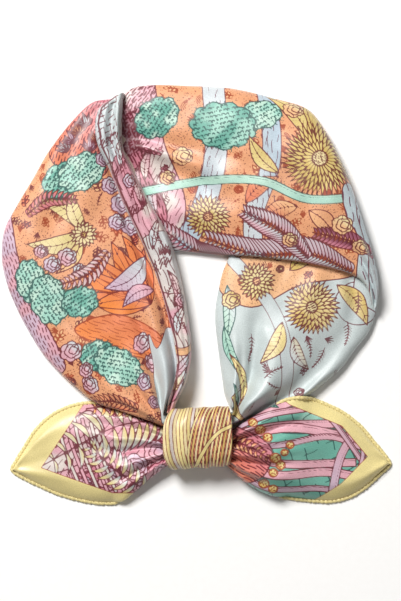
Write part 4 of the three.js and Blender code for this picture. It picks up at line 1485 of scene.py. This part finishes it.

# %% [markdown]
# ## The back's print
# The back has the left arm's peach, with daisies and ribbons. Next to the roll a dull purple
# and rose with dense dark strokes is painted shade, which deepens the hollow there, and its far
# end is silver where it turns over.

# %% Print the back stretch
def print_back():
    """Bushes, daisies and ribbons on stippled peach, with painted shade in the hollow beside the roll.
    """
    silk = Silk((-70, -30), (130, 140), "peach", 0.8)
    whole = [(-30, 20), (40, 14), (100, 0), (100, 60), (70, 110), (0, 122), (-40, 120)]
    sow(silk, whole, 8.5, ("apricot", "coral"), ("rust",), 5.5)
    left = loop([(-62, 16), (-22, 10), (-6, 46), (-18, 84), (-30, 130), (-64, 122)])
    silk.patch(left, "pink", "shell", blotch=7)
    silk.strokes(left, 1.15, 2.4, 6, 0.85)
    inner = [(-52, 24), (-20, 20), (-10, 50), (-28, 84), (-54, 80)]
    sow(silk, inner, 7, ("mist", "shell", "rose"), ("maroon",), 6)
    # Painted shade: a dull purple and rose patch with dense dark strokes darkens the hollow beside the
    # roll, where the roll's shadow falls.
    hollow = loop([(-50, 108), (-38, 104), (-29, 74), (-16, 42), (-26, 30), (-52, 60)])
    silk.patch(hollow, "shade_mauve", "rose", blotch=9)
    silk.strokes(hollow, 1.9, 1.5, 5, 1.15)
    for k in range(7):
        x, y = -37 + 3 * k, 36 + 9 * (k % 4)
        fill = ("shell", "rose", "mist")[k % 3]
        leaf(silk, (x, y), (x + 3 - 2 * (k % 3), y + 17), 5, fill, "pink", 5, 0.1)
    silk.strokes(loop([(-60, 84), (-30, 78), (-26, 128), (-60, 124)]), 1.0, 1.5, 2.6, 1.1)
    ribbon(silk, [(-16, 14), (2, 44), (10, 76), (8, 124)], 12, "sky", "mist")
    ribbon(silk, [(34, 8), (30, 40), (40, 74), (36, 124)], 10, "mist", "sky")
    first = loop([(29, 10), (39, 10), (45, 80), (37, 110), (34, 80)])
    silk.strokes(first, 1.5, 3.0, 7, 0.8, "plum")
    second = loop([(-12, 20), (-4, 20), (14, 80), (10, 118), (4, 80)])
    silk.strokes(second, 1.3, 3.0, 6, 0.8, "plum")
    bush(silk, (-22, 98), 13, "teal", "mint", 0.8, 0.6, 9, 2.1)
    bush(silk, (34, 98), 12, "mint", "aqua", 0.7, 0.2, 8, 2.2)
    bush(silk, (14, 92), 18, "aqua", "teal", 0.72, -0.1, 11)
    leaf(silk, (84, 64), (58, 110), 17, "gold", "straw", 8, 0.12)
    leaf(silk, (80, 50), (101, 86), 14, "gold", "straw", 7, -0.1)
    leaf(silk, (60, 84), (36, 112), 9, "gold", "straw", 6, -0.12)
    daisy(silk, (66, 74), 21, "gold", "cream", tint="straw")
    daisy(silk, (6, 42), 12.5, "gold", "apricot", tint="cream")
    leaf(silk, (44, 66), (28, 86), 8, "straw", "gold", 6, 0.1)
    leaf(silk, (26, 50), (44, 64), 9, "coral", "peach", 7, 0.12)
    leaf(silk, (54, 48), (34, 40), 9, "coral", "apricot", 7, -0.12)
    leaf(silk, (60, 46), (74, 30), 10, "apricot", "peach", 6, 0.12)
    long_way = [(-52, 50), (-10, 60), (34, 62), (60, 52), (104, 56)]
    ribbon(silk, long_way, 4.6, "aqua", "mint", "pine")
    far = [(79, 60), (92, 62), (104, 26), (108, -10), (90, -10), (86, 10), (87, 30), (80, 44)]
    silk.patch(loop(far), "silver", "sky", weight=0.9)
    silk.line([(85, 62), (86, 44), (92, 24), (93, -8)], 0.8)
    silk.strokes(loop(far), 1.75, 3.4, 5, 0.8, "plum")
    frond(silk, [(84, 12), (62, 22), (34, 22), (4, 30)], 9.5, "rose", 36, "maroon", "mist", 0.9, 0.24)
    frond(silk, [(60, 20), (46, 34), (24, 46)], 7, "pink", 23, "maroon", "mist", 0.9, 0.24)
    frond(silk, [(20, 20), (2, 22), (-24, 40)], 7, "mist", 23, "maroon", "rose", 0.9, 0.24)
    frond(silk, [(96, 24), (80, 30), (62, 34)], 5.5, "rose", 14, "maroon", "plum", 0.9)
    scatter(bloom, silk, [
        ((78, 38), 6), ((88, 26), 5), ((52, 102), 6), ((-8, 76), 6), ((-16, 64), 4.5), ((50, 30), 4.5),
    ], "apricot", "cream", ink="maroon")
    return silk


keep_silk("back_stretch", print_back())

# %% [markdown]
# ## The right arm's print
# Most of this stretch is silver satin, so it shows its folds best. The motifs are few and
# large, and fine sprigs fill the open silk without hiding its sheen.

# %% Print the right arm
def print_right_arm():
    """Two large daisies, leaves and sprigs on silver, with peach at the top."""
    silk = Silk((-10, -100), (130, 70), "silver")
    lower = [(40, -24), (86, -18), (88, -34), (60, -56), (24, -70), (16, -50)]
    sow(silk, lower, 15, ("mist", "silver", "sky"), ("maroon",), 6)
    upper = loop([(6, 60), (8, 8), (28, -6), (56, 6), (88, 12), (110, 30), (104, 60)])
    silk.patch(upper, "apricot", "peach", dots=0.5)
    strewn = [(12, 40), (14, 12), (30, 0), (56, 10), (96, 22), (90, 40)]
    sow(silk, strewn, 7.5, ("peach", "coral", "cream"), ("rust", "maroon"), 5)
    silk.patch(oval((88, -4), 13, 0.9), "silver", "mist", weight=0.9)
    far = loop([(96, 34), (86, 10), (88, -2), (114, -12), (114, 34)])
    silk.patch(far, "silver", "mist", weight=0.9)
    ribbon(silk, [(8, 30), (26, 12), (44, -14), (52, -64)], 7, "mist", "silver", inner=False)
    daisy(silk, (62, -6), 15.5, "gold", "cream", tint="cream")
    daisy(silk, (32, 8), 10.5, "straw", "apricot", tint="cream")
    leaf(silk, (76, 6), (93, -16), 10, "cream", "gold", 6, 0.12)
    leaf(silk, (50, 14), (66, 22), 8, "gold", "cream", 6, 0.12)
    leaf(silk, (46, -14), (33, -36), 9, "cream", "straw", 7, 0.14)
    leaf(silk, (52, -22), (62, -40), 7, "mist", "cream", 6, -0.14)
    leaf(silk, (16, 6), (13, -24), 7, "mint", "mist", 8, 0.08, "pine")
    leaf(silk, (13, -16), (20, -44), 6.5, "aqua", "mint", 8, -0.1, "pine")
    leaf(silk, (13, -30), (19, -58), 5.5, "straw", "yellow", 6, 0.1)
    leaf(silk, (10, -44), (16, -70), 4.5, "aqua", "mint", 6, 0.1, "pine")
    scatter(sprig, silk, [
        ((70, -28), 4.2, 13), ((82, -14), 4.6, 13), ((36, -44), 0.5, 12), ((28, -20), 4.5, 11),
        ((46, -50), 2.7, 9), ((88, 2), 4.6, 12), ((60, -24), 4.9, 10), ((24, -36), 1.1, 8),
    ])
    for place in ((22, 26), (44, 24), (76, 22), (18, -2)):
        bloom(silk, place, 5.5, "cream", "gold", 6, "maroon")
    ribbon(silk, [(10, -50), (20, -62), (30, -72)], 3, "straw", "yellow")
    return silk


keep_silk("right_arm", print_right_arm())

# %% [markdown]
# ## The corners' print
# Each corner has a plain yellow border, about two centimetres wide, and the printed field
# ends along it in straight lines. The border is laid last, so that its edge stays clean.

# %% Print the two corners
LEFT_FIELD = [  # the printed part of each corner, inside the plain border
    (-84.3, -92.9), (-62.3, -59.9), (-55, -50), (-6, -50), (-6, -94), (-33.5, -106.4), (-45.9, -106.4),
]
RIGHT_FIELD = [
    (92.3, -86.9), (78.3, -70.2), (50.1, -58.6), (38, -50), (10, -50), (10, -122), (56, -122),
    (63.7, -110.7), (77.8, -101.5),
]


def border_round(silk, field):
    """Plain border silk everywhere outside the printed field."""
    cut, places, within = silk.inside(np.array(field, float))
    plain = np.ones(silk.shape, bool)
    plain[cut] = ~within
    silk.dyes[plain] = dye("yellow")
    silk.away[plain] = NO_LINE
    silk.dots[plain] = 0
    silk.line(field + field[:1], 0.6, "rust")


def print_left_tail():
    """Pale fronds over rose blooms."""
    silk = Silk((-125, -135), (10, -35), "pink")
    lower = loop([(-70, -106), (-30, -112), (-8, -92), (-8, -70), (-40, -82)])
    silk.patch(lower, "rose", "pink", blotch=6)
    outer = loop([(-90, -96), (-76, -76), (-58, -62), (-50, -74), (-66, -92)])
    silk.patch(outer, "shell", "pink", blotch=7)
    silk.strokes([(-90, -110), (-90, -50), (-10, -50), (-10, -110)], 0.9, 3.6, 6, 0.8)
    strewn = [(-84, -96), (-60, -60), (-10, -56), (-8, -92), (-36, -110)]
    sow(silk, strewn, 12, ("pink", "rose", "shell"), ("maroon",), 6)
    scatter(bloom, silk, [
        ((-34, -92), 8), ((-22, -84), 7), ((-47, -99), 7), ((-30, -103), 5), ((-60, -102), 5),
        ((-19, -95), 5),
    ], "pink", "lilac", 6, "maroon")
    for k in range(6):
        x = -76 + 4.6 * k
        path = [(x, -60 - 2 * k), (x + 3, -78), (x + 14, -106)]
        ribbon(silk, path, 1.8, ("shell", "pink")[k % 2], inner=False)
    frond(silk, [(-14, -67), (-42, -70), (-84, -92)], 16, "mist", 12, "maroon", "straw", 0.45, 0.17)
    frond(silk, [(-26, -106), (-44, -94), (-60, -78)], 10, "straw", 9, "maroon", "mist", 0.5, 0.2)
    frond(silk, [(-18, -60), (-38, -59), (-60, -61)], 7, "yellow", 8, "maroon", "orange", 0.5, 0.22)
    border_round(silk, LEFT_FIELD)
    return silk


def print_right_tail():
    """Long pink blades and gold buttons on green."""
    silk = Silk((0, -135), (125, -35), "teal")
    upper = loop([(12, -50), (60, -52), (84, -66), (60, -74), (20, -66)])
    silk.patch(upper, "teal", "aqua", "pine", blotch=5)
    whole = [(10, -50), (96, -50), (96, -120), (10, -120)]
    silk.strokes(whole, 1.9, 8.0, 12, 0.9, "pine")
    silk.strokes(whole, 0.5, 9.0, 8, 0.9, "pine")
    blades = [
        [(14, -72), (32, -64), (56, -55)],
        [(14, -74), (38, -64), (66, -60)],
        [(14, -76), (42, -70), (80, -69)],
        [(14, -79), (48, -71), (90, -78)],
        [(14, -81), (44, -80), (72, -76), (92, -83)],
        [(14, -83), (44, -90), (86, -90)],
        [(14, -85), (40, -96), (70, -95), (88, -98)],
        [(14, -87), (36, -103), (66, -104), (80, -106)],
        [(14, -89), (32, -108), (64, -113)],
    ]
    for k, blade in enumerate(blades):
        ribbon(silk, blade, (4.6, 3.2, 4.2)[k % 3], ("pink", "lilac", "pink")[k % 3], "pink")
    ribbon(silk, [(88, -70), (78, -86), (72, -112)], 4.4, "lilac", "pink")
    ribbon(silk, [(60, -56), (72, -66), (94, -96)], 2.8, "pink", "lilac")
    ribbon(silk, [(84, -72), (90, -84), (84, -104)], 2.6, "pink", "lilac")
    coral = loop([(12, -70), (28, -73), (40, -82), (37, -95), (26, -101), (12, -93)])
    silk.patch(coral, "coral", "rose")
    silk.strokes(coral, -0.5, 1.4, 5, 0.9)
    frond(silk, [(14, -78), (26, -80), (40, -88)], 4, "apricot", 9, "maroon", "coral")
    scatter(button, silk, [
        ((34, -72), 2.8), ((38, -76), 2.4), ((42, -87), 3.0), ((45, -91), 2.5), ((41, -95), 2.4),
        ((36, -101), 2.8), ((41, -104), 2.5), ((30, -68), 2.4), ((50, -80), 2.2), ((47, -84), 2.0),
    ], "gold", "yellow", "rust", 0.6, 1.5, 0.8, 0.9)
    leaf(silk, (24, -58), (44, -60), 5, "mint", "aqua", 6, 0.1, "pine")
    border_round(silk, RIGHT_FIELD)
    return silk


keep_silk("left_tail", print_left_tail())
keep_silk("right_tail", print_right_tail())

# %% [markdown]
# ## The knot's print
# Striped silk goes round the knot, so bands of gold, cream and straw run the way it is
# pulled. They bend where the silk drifts to the side, and cross over coral at the right.

# %% Print the knot
def print_knot():
    """Fine stripes that run round the knot, pale at the left and over coral at the right."""
    silk = Silk((-4, -4), (84, 120), "cream")
    for k in range(24):
        x = 0.2 + 1.9 * k
        fill = ("yellow", "cream", "straw", "shell", "cream", "yellow")[k % 6]
        path = [(x, -4), (x + 0.4, 16), (x + 1.8, 36), (x + 3.0, 56), (x + 3.0, 118)]
        silk.patch(band(path, 1.7), fill, None, ("maroon", "rust")[k % 2], 0.55)
    panel = [(17, 122), (17, 56), (15, 34), (19, 12), (26, -4), (60, -4), (60, 122)]
    silk.patch(panel, "coral", "orange", weight=0.7)
    silk.strokes(panel, 1.3, 2.1, 3.0, 0.9)
    for k in range(16):
        x = 16.5 + 2.05 * k
        fill = ("yellow", "gold", "cream", "straw")[k % 4]
        path = [(x + 2, 122), (x + 1, 58), (x - 1.5, 40), (x + 1.5, 18), (x + 8, -4)]
        silk.patch(band(path, 1.25), fill, weight=0.6)
    crossing = band([(17, 44), (23, 31), (32, 20), (46, 14)], 2.0)
    silk.patch(crossing, "yellow", "gold", weight=0.6)
    return silk


keep_silk("knot_wrap", print_knot())

# %% [markdown]
# ## Satin
# Satin hides its weave: long threads float side by side on the face and catch the light as
# one soft, stretched highlight. Two shader groups carry what all the pieces share. One mixes
# the print from the mesh's own values. The other gives the threads, a faint slub and the
# uneven gloss, from the flat silk's UV map, so they follow every fold.

# %% Make nodes for groups
def new_group(name, inputs, outputs):
    """A shader node group with named sockets."""
    tree = bpy.data.node_groups.new(name, "ShaderNodeTree")
    for direction, sockets in (("INPUT", inputs), ("OUTPUT", outputs)):
        for label, kind in sockets.items():
            tree.interface.new_socket(label, in_out=direction, socket_type="NodeSocket" + kind)
    return tree, tree.nodes.new("NodeGroupInput").outputs, tree.nodes.new("NodeGroupOutput")


def math_node(tree, operation, first, second=None):
    """The output of a math node between two values or outputs."""
    node = tree_node(tree, "ShaderNodeMath", operation=operation)
    for socket, value in zip(node.inputs, (first, second)):
        if isinstance(value, bpy.types.NodeSocket):
            tree.links.new(value, socket)
        elif value is not None:
            socket.default_value = value
    return node.outputs[0]


def ramp_node(tree, value, low, high, to_low=0.0, to_high=1.0):
    """The output of a smooth step of a value, from one range to another."""
    span = {"From_Min": low, "From_Max": high, "To_Min": to_low, "To_Max": to_high}
    node = tree_node(tree, "ShaderNodeMapRange", interpolation_type="SMOOTHSTEP", Value=value, **span)
    return node.outputs["Result"]


def noise_node(tree, place, scale, detail, roughness=0.5):
    """The output of a noise at a place."""
    given = {"Scale": scale, "Detail": detail, "Roughness": roughness}
    return tree_node(tree, "ShaderNodeTexNoise", Vector=place, **given).outputs["Fac"]


# %% Build the group that mixes the print
STIPPLE = 0.85  # dots to a millimetre
DOT_EDGE = (0.34, 0.20)  # how far from its middle a dot ends and is full
DOT_DEPTH = 0.9


def build_print_group():
    """Dyes and lines of the print, with stippled shading where the drawing has it."""
    tree, given, out = new_group(
        "Printed dyes", {"Line strength": "Float"}, {"Colour": "Color", "Line": "Float"}
    )
    kept = {}
    for name in ("dye", "line_dye", "away", "dots"):
        kept[name] = tree_node(tree, "ShaderNodeAttribute", attribute_name=name).outputs
    line = ramp_node(tree, kept["away"]["Fac"], LINE * 1.3, LINE * 0.65)
    line = math_node(tree, "MULTIPLY", line, given["Line strength"])
    place = tree_node(tree, "ShaderNodeUVMap", uv_map="Flat silk").outputs["UV"]
    stipple = tree_node(tree, "ShaderNodeTexVoronoi", Vector=place, Scale=STIPPLE, Randomness=1.0)
    dot = ramp_node(tree, stipple.outputs["Distance"], *DOT_EDGE)
    dot = math_node(tree, "MULTIPLY", dot, kept["dots"]["Fac"])
    dot = math_node(tree, "MULTIPLY", dot, DOT_DEPTH)
    dotted = mix_node(tree, dot, kept["dye"]["Color"], kept["line_dye"]["Color"])
    uneven = ramp_node(tree, noise_node(tree, place, 0.055, 3.0), 0.3, 0.7, 0.9, 1.04)
    grain = ramp_node(tree, noise_node(tree, place, 1.5, 2.0, 0.7), 0.3, 0.7, 0.9, 1.1)
    depth = math_node(tree, "MULTIPLY", uneven, grain)
    grey = tree_node(tree, "ShaderNodeCombineColor", Red=depth, Green=depth, Blue=depth)
    dyed = mix_node(tree, 1.0, dotted, grey.outputs["Color"], "MULTIPLY")
    colour = mix_node(tree, line, dyed, kept["line_dye"]["Color"])
    set_node(tree, out, {"Colour": colour, "Line": line})
    return tree


# %% Build the group of threads and gloss
BIAS = math.radians(45)  # how the threads lie in a band that is folded on the bias


def build_satin_group():
    """Threads, slubs and uneven gloss of silk satin, in millimetres of flat cloth."""
    tree, given, out = new_group(
        "Satin weave", {"Thread pitch": "Float", "Base roughness": "Float"},
        {"Height": "Float", "Roughness": "Float", "Slub": "Float"},
    )
    place = tree_node(tree, "ShaderNodeUVMap", uv_map="Flat silk").outputs["UV"]
    bias = {"rotation_type": "Z_AXIS", "Vector": place, "Angle": BIAS}
    turned_place = tree_node(tree, "ShaderNodeVectorRotate", **bias).outputs["Vector"]
    parts = tree_node(tree, "ShaderNodeSeparateXYZ", Vector=turned_place).outputs
    turns = math_node(tree, "DIVIDE", parts["X"], given["Thread pitch"])
    thread = math_node(tree, "SINE", math_node(tree, "MULTIPLY", turns, 2 * math.pi))
    long_way = {"X": math_node(tree, "MULTIPLY", parts["X"], 2.2)}
    long_way["Y"] = math_node(tree, "MULTIPLY", parts["Y"], 0.12)
    stretch = tree_node(tree, "ShaderNodeCombineXYZ", **long_way).outputs["Vector"]
    slub = noise_node(tree, stretch, 1.0, 3.0, 0.6)
    height = math_node(tree, "ADD", math_node(tree, "MULTIPLY", thread, 0.25), slub)
    spread = ramp_node(tree, noise_node(tree, place, 0.09, 2.0), 0.25, 0.75, -0.05, 0.06)
    fine = ramp_node(tree, slub, 0.3, 0.7, -0.03, 0.04)
    rough = math_node(tree, "ADD", given["Base roughness"], math_node(tree, "ADD", spread, fine))
    set_node(tree, out, {"Height": height, "Roughness": rough, "Slub": slub})
    return tree


PRINT_GROUP = build_print_group()
SATIN_GROUP = build_satin_group()
print("groups:", PRINT_GROUP.name, "and", SATIN_GROUP.name)

# %% [markdown]
# ## The silks
# One satin serves all the pieces, a little glossier on the corners, where it lies in a single
# layer, than on the folded band. The hems are of the plain border silk, sewn with a deeper
# gold thread. The print is kept at the points of the mesh, which are close enough to hold it.

# %% Make the silks
LINE_STRENGTH = 0.92
THREAD_PITCH = 0.28  # millimetres from one thread to the next
RELIEF = 0.0002  # the depth of the weave, in metres
GLOSS = {"Sheen_Roughness": 0.35, "Specular_IOR_Level": 0.5, "Anisotropic": 0.3}


def silk_material(name, base_roughness, sheen, bump=0.06, plain=None):
    """Silk satin, with the print or one plain dye."""
    material, tree, shader = new_material(name, Sheen_Weight=sheen, **GLOSS)
    weave = {"Thread_pitch": THREAD_PITCH, "Base_roughness": base_roughness}
    satin = tree_node(tree, "ShaderNodeGroup", node_tree=SATIN_GROUP, **weave).outputs
    relief = {"Strength": bump, "Distance": RELIEF, "Height": satin["Height"]}
    normal = tree_node(tree, "ShaderNodeBump", **relief).outputs["Normal"]
    if plain is None:
        print_given = {"node_tree": PRINT_GROUP, "Line_strength": LINE_STRENGTH}
        colour = tree_node(tree, "ShaderNodeGroup", **print_given).outputs["Colour"]
    else:
        light, dark = (tuple(dye(plain) * share) + (1,) for share in (1.05, 0.82))
        colour = mix_node(tree, satin["Slub"], dark, light)
    looks = {"Roughness": satin["Roughness"], "Normal": normal, "Base_Color": colour}
    set_node(tree, shader, looks)
    return material


BODY_SILK = silk_material("Printed silk of the band", 0.43, 0.2)
TAIL_SILK = silk_material("Printed silk of the corners", 0.38, 0.15)
KNOT_SILK = silk_material("Printed silk of the knot", 0.42, 0.12)
HEM_SILK = silk_material("Rolled hem silk", 0.42, 0.2, 0.2, "yellow")
THREAD_COLOUR = (*dye("gold") * 0.62, 1)
THREAD = new_material("Hem thread", Base_Color=THREAD_COLOUR, Roughness=0.45, Sheen_Weight=0.3)[0]
print("materials:", [m.name for m in (BODY_SILK, TAIL_SILK, KNOT_SILK, HEM_SILK, THREAD)])


# %% Keep the print on a mesh
def keep_print(mesh, cloth, silk, places):
    """Keep the print at the points of the skin. The lining takes its average."""
    count = cloth.points.shape[0] * cloth.points.shape[1]
    spare = len(mesh.vertices) - count
    layers = silk.read(places.reshape(-1, 2))
    for name, layer in zip(("dye", "line_dye", "away", "dots"), layers):
        last = layer.mean(axis=0) if name != "away" else NO_LINE
        filled = np.concatenate([layer, np.full((spare, *layer.shape[1:]), last)])
        kind, field = "FLOAT", "value"
        if layer.ndim == 2:
            kind, field = "FLOAT_COLOR", "color"
            filled = np.column_stack([filled, np.ones(len(filled))])
        attribute = mesh.attributes.new(name, kind, "POINT")
        attribute.data.foreach_set(field, filled.astype(np.float32).ravel())


# %% Make and dress every stretch
DRESS = {
    "left_arm": (BODY_SILK, "printed_silk"), "inner_roll": (BODY_SILK, "printed_silk"),
    "back_stretch": (BODY_SILK, "printed_silk"), "right_arm": (BODY_SILK, "printed_silk"),
    "left_tail": (TAIL_SILK, "tail_silk"), "right_tail": (TAIL_SILK, "tail_silk"),
    "left_tail_hem": (HEM_SILK, "hem_silk"), "right_tail_hem": (HEM_SILK, "hem_silk"),
    "knot_wrap": (KNOT_SILK, "knot_silk"),
}
pieces = {}
for name, cloth in cloths.items():
    mesh = mesh_of("Silk " + name, cloth)
    pieces[name] = bpy.data.objects.new("silk_" + name, mesh)
    scene.collection.objects.link(pieces[name])
    if name in silks:
        flat = cloth.points[..., :2] if "tail" in name else cloth.flat[: len(cloth.points), :-1]
        keep_print(mesh, cloth, silks[name], flat)
    mesh.materials.append(DRESS[name][0])
    print(name, "faces", len(mesh.polygons))


# %% [markdown]
# ## The stitches
# A gold thread crosses each hem in short slanted stitches. Every stitch is a spindle of five
# rings of six points, and those of one hem are one mesh, which is lighter than many objects.

# %% Make the stitches of both hems
def stitch_mesh(name, rings):
    """One mesh of all the stitches of a hem."""
    count = len(rings)
    spans = (np.arange(count), np.arange(4), np.arange(6))
    i, j, k = (axis.ravel() for axis in np.meshgrid(*spans, indexing="ij"))
    corners = [(j, k), (j, (k + 1) % 6), (j + 1, (k + 1) % 6), (j + 1, k)]
    faces = np.stack([i * 30 + row * 6 + place for row, place in corners], -1).tolist()
    for start in range(0, 30 * count, 30):
        faces.append([start + k for k in range(5, -1, -1)])
        faces.append([start + 24 + k for k in range(6)])
    mesh = bpy.data.meshes.new(name)
    mesh.from_pydata(to_model(rings.reshape(-1, 3)).tolist(), [], faces)
    mesh.polygons.foreach_set("use_smooth", np.ones(len(mesh.polygons), bool))
    mesh.materials.append(THREAD)
    return mesh


for side, rings in stitches.items():
    name = side + "_tail_stitches"
    pieces[name] = bpy.data.objects.new(name, stitch_mesh(name, rings))
    scene.collection.objects.link(pieces[name])
    print(name, len(rings), "stitches")

# %% [markdown]
# ## The scarf on its body
# Every piece rides on the one body, stands for its node of the imported model, and each
# stretch states the cut of silk that it shows.

for name, piece in pieces.items():
    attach(piece, "root")
    if name in DRESS:
        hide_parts(name)

Cut = namedtuple("Cut", "width length held on going_with")
CUTS = {  # the silk that shows, all round where the stretch is a tube, in metres
    "right_arm": Cut(0.125, 0.110, "folded", (), ()),
    "left_tail": Cut(0.060, 0.088, "laid", (), ("left_tail_hem", "left_tail_stitches")),
    "left_arm": Cut(0.150, 0.195, "folded", ("left_tail",), ()),
    "back_stretch": Cut(0.170, 0.135, "folded", ("left_arm", "right_arm"), ()),
    "inner_roll": Cut(0.034, 0.180, "folded", ("left_arm", "back_stretch"), ()),
    "right_tail": Cut(0.060, 0.092, "laid", ("right_arm",), ("right_tail_hem", "right_tail_stitches")),
    "knot_wrap": Cut(0.040, 0.100, "gathered", ("left_arm", "right_arm"), ()),
}
for name, cut in CUTS.items():
    print(name, "cut to", round(cut.width / MM), "x", round(cut.length / MM), "mm")
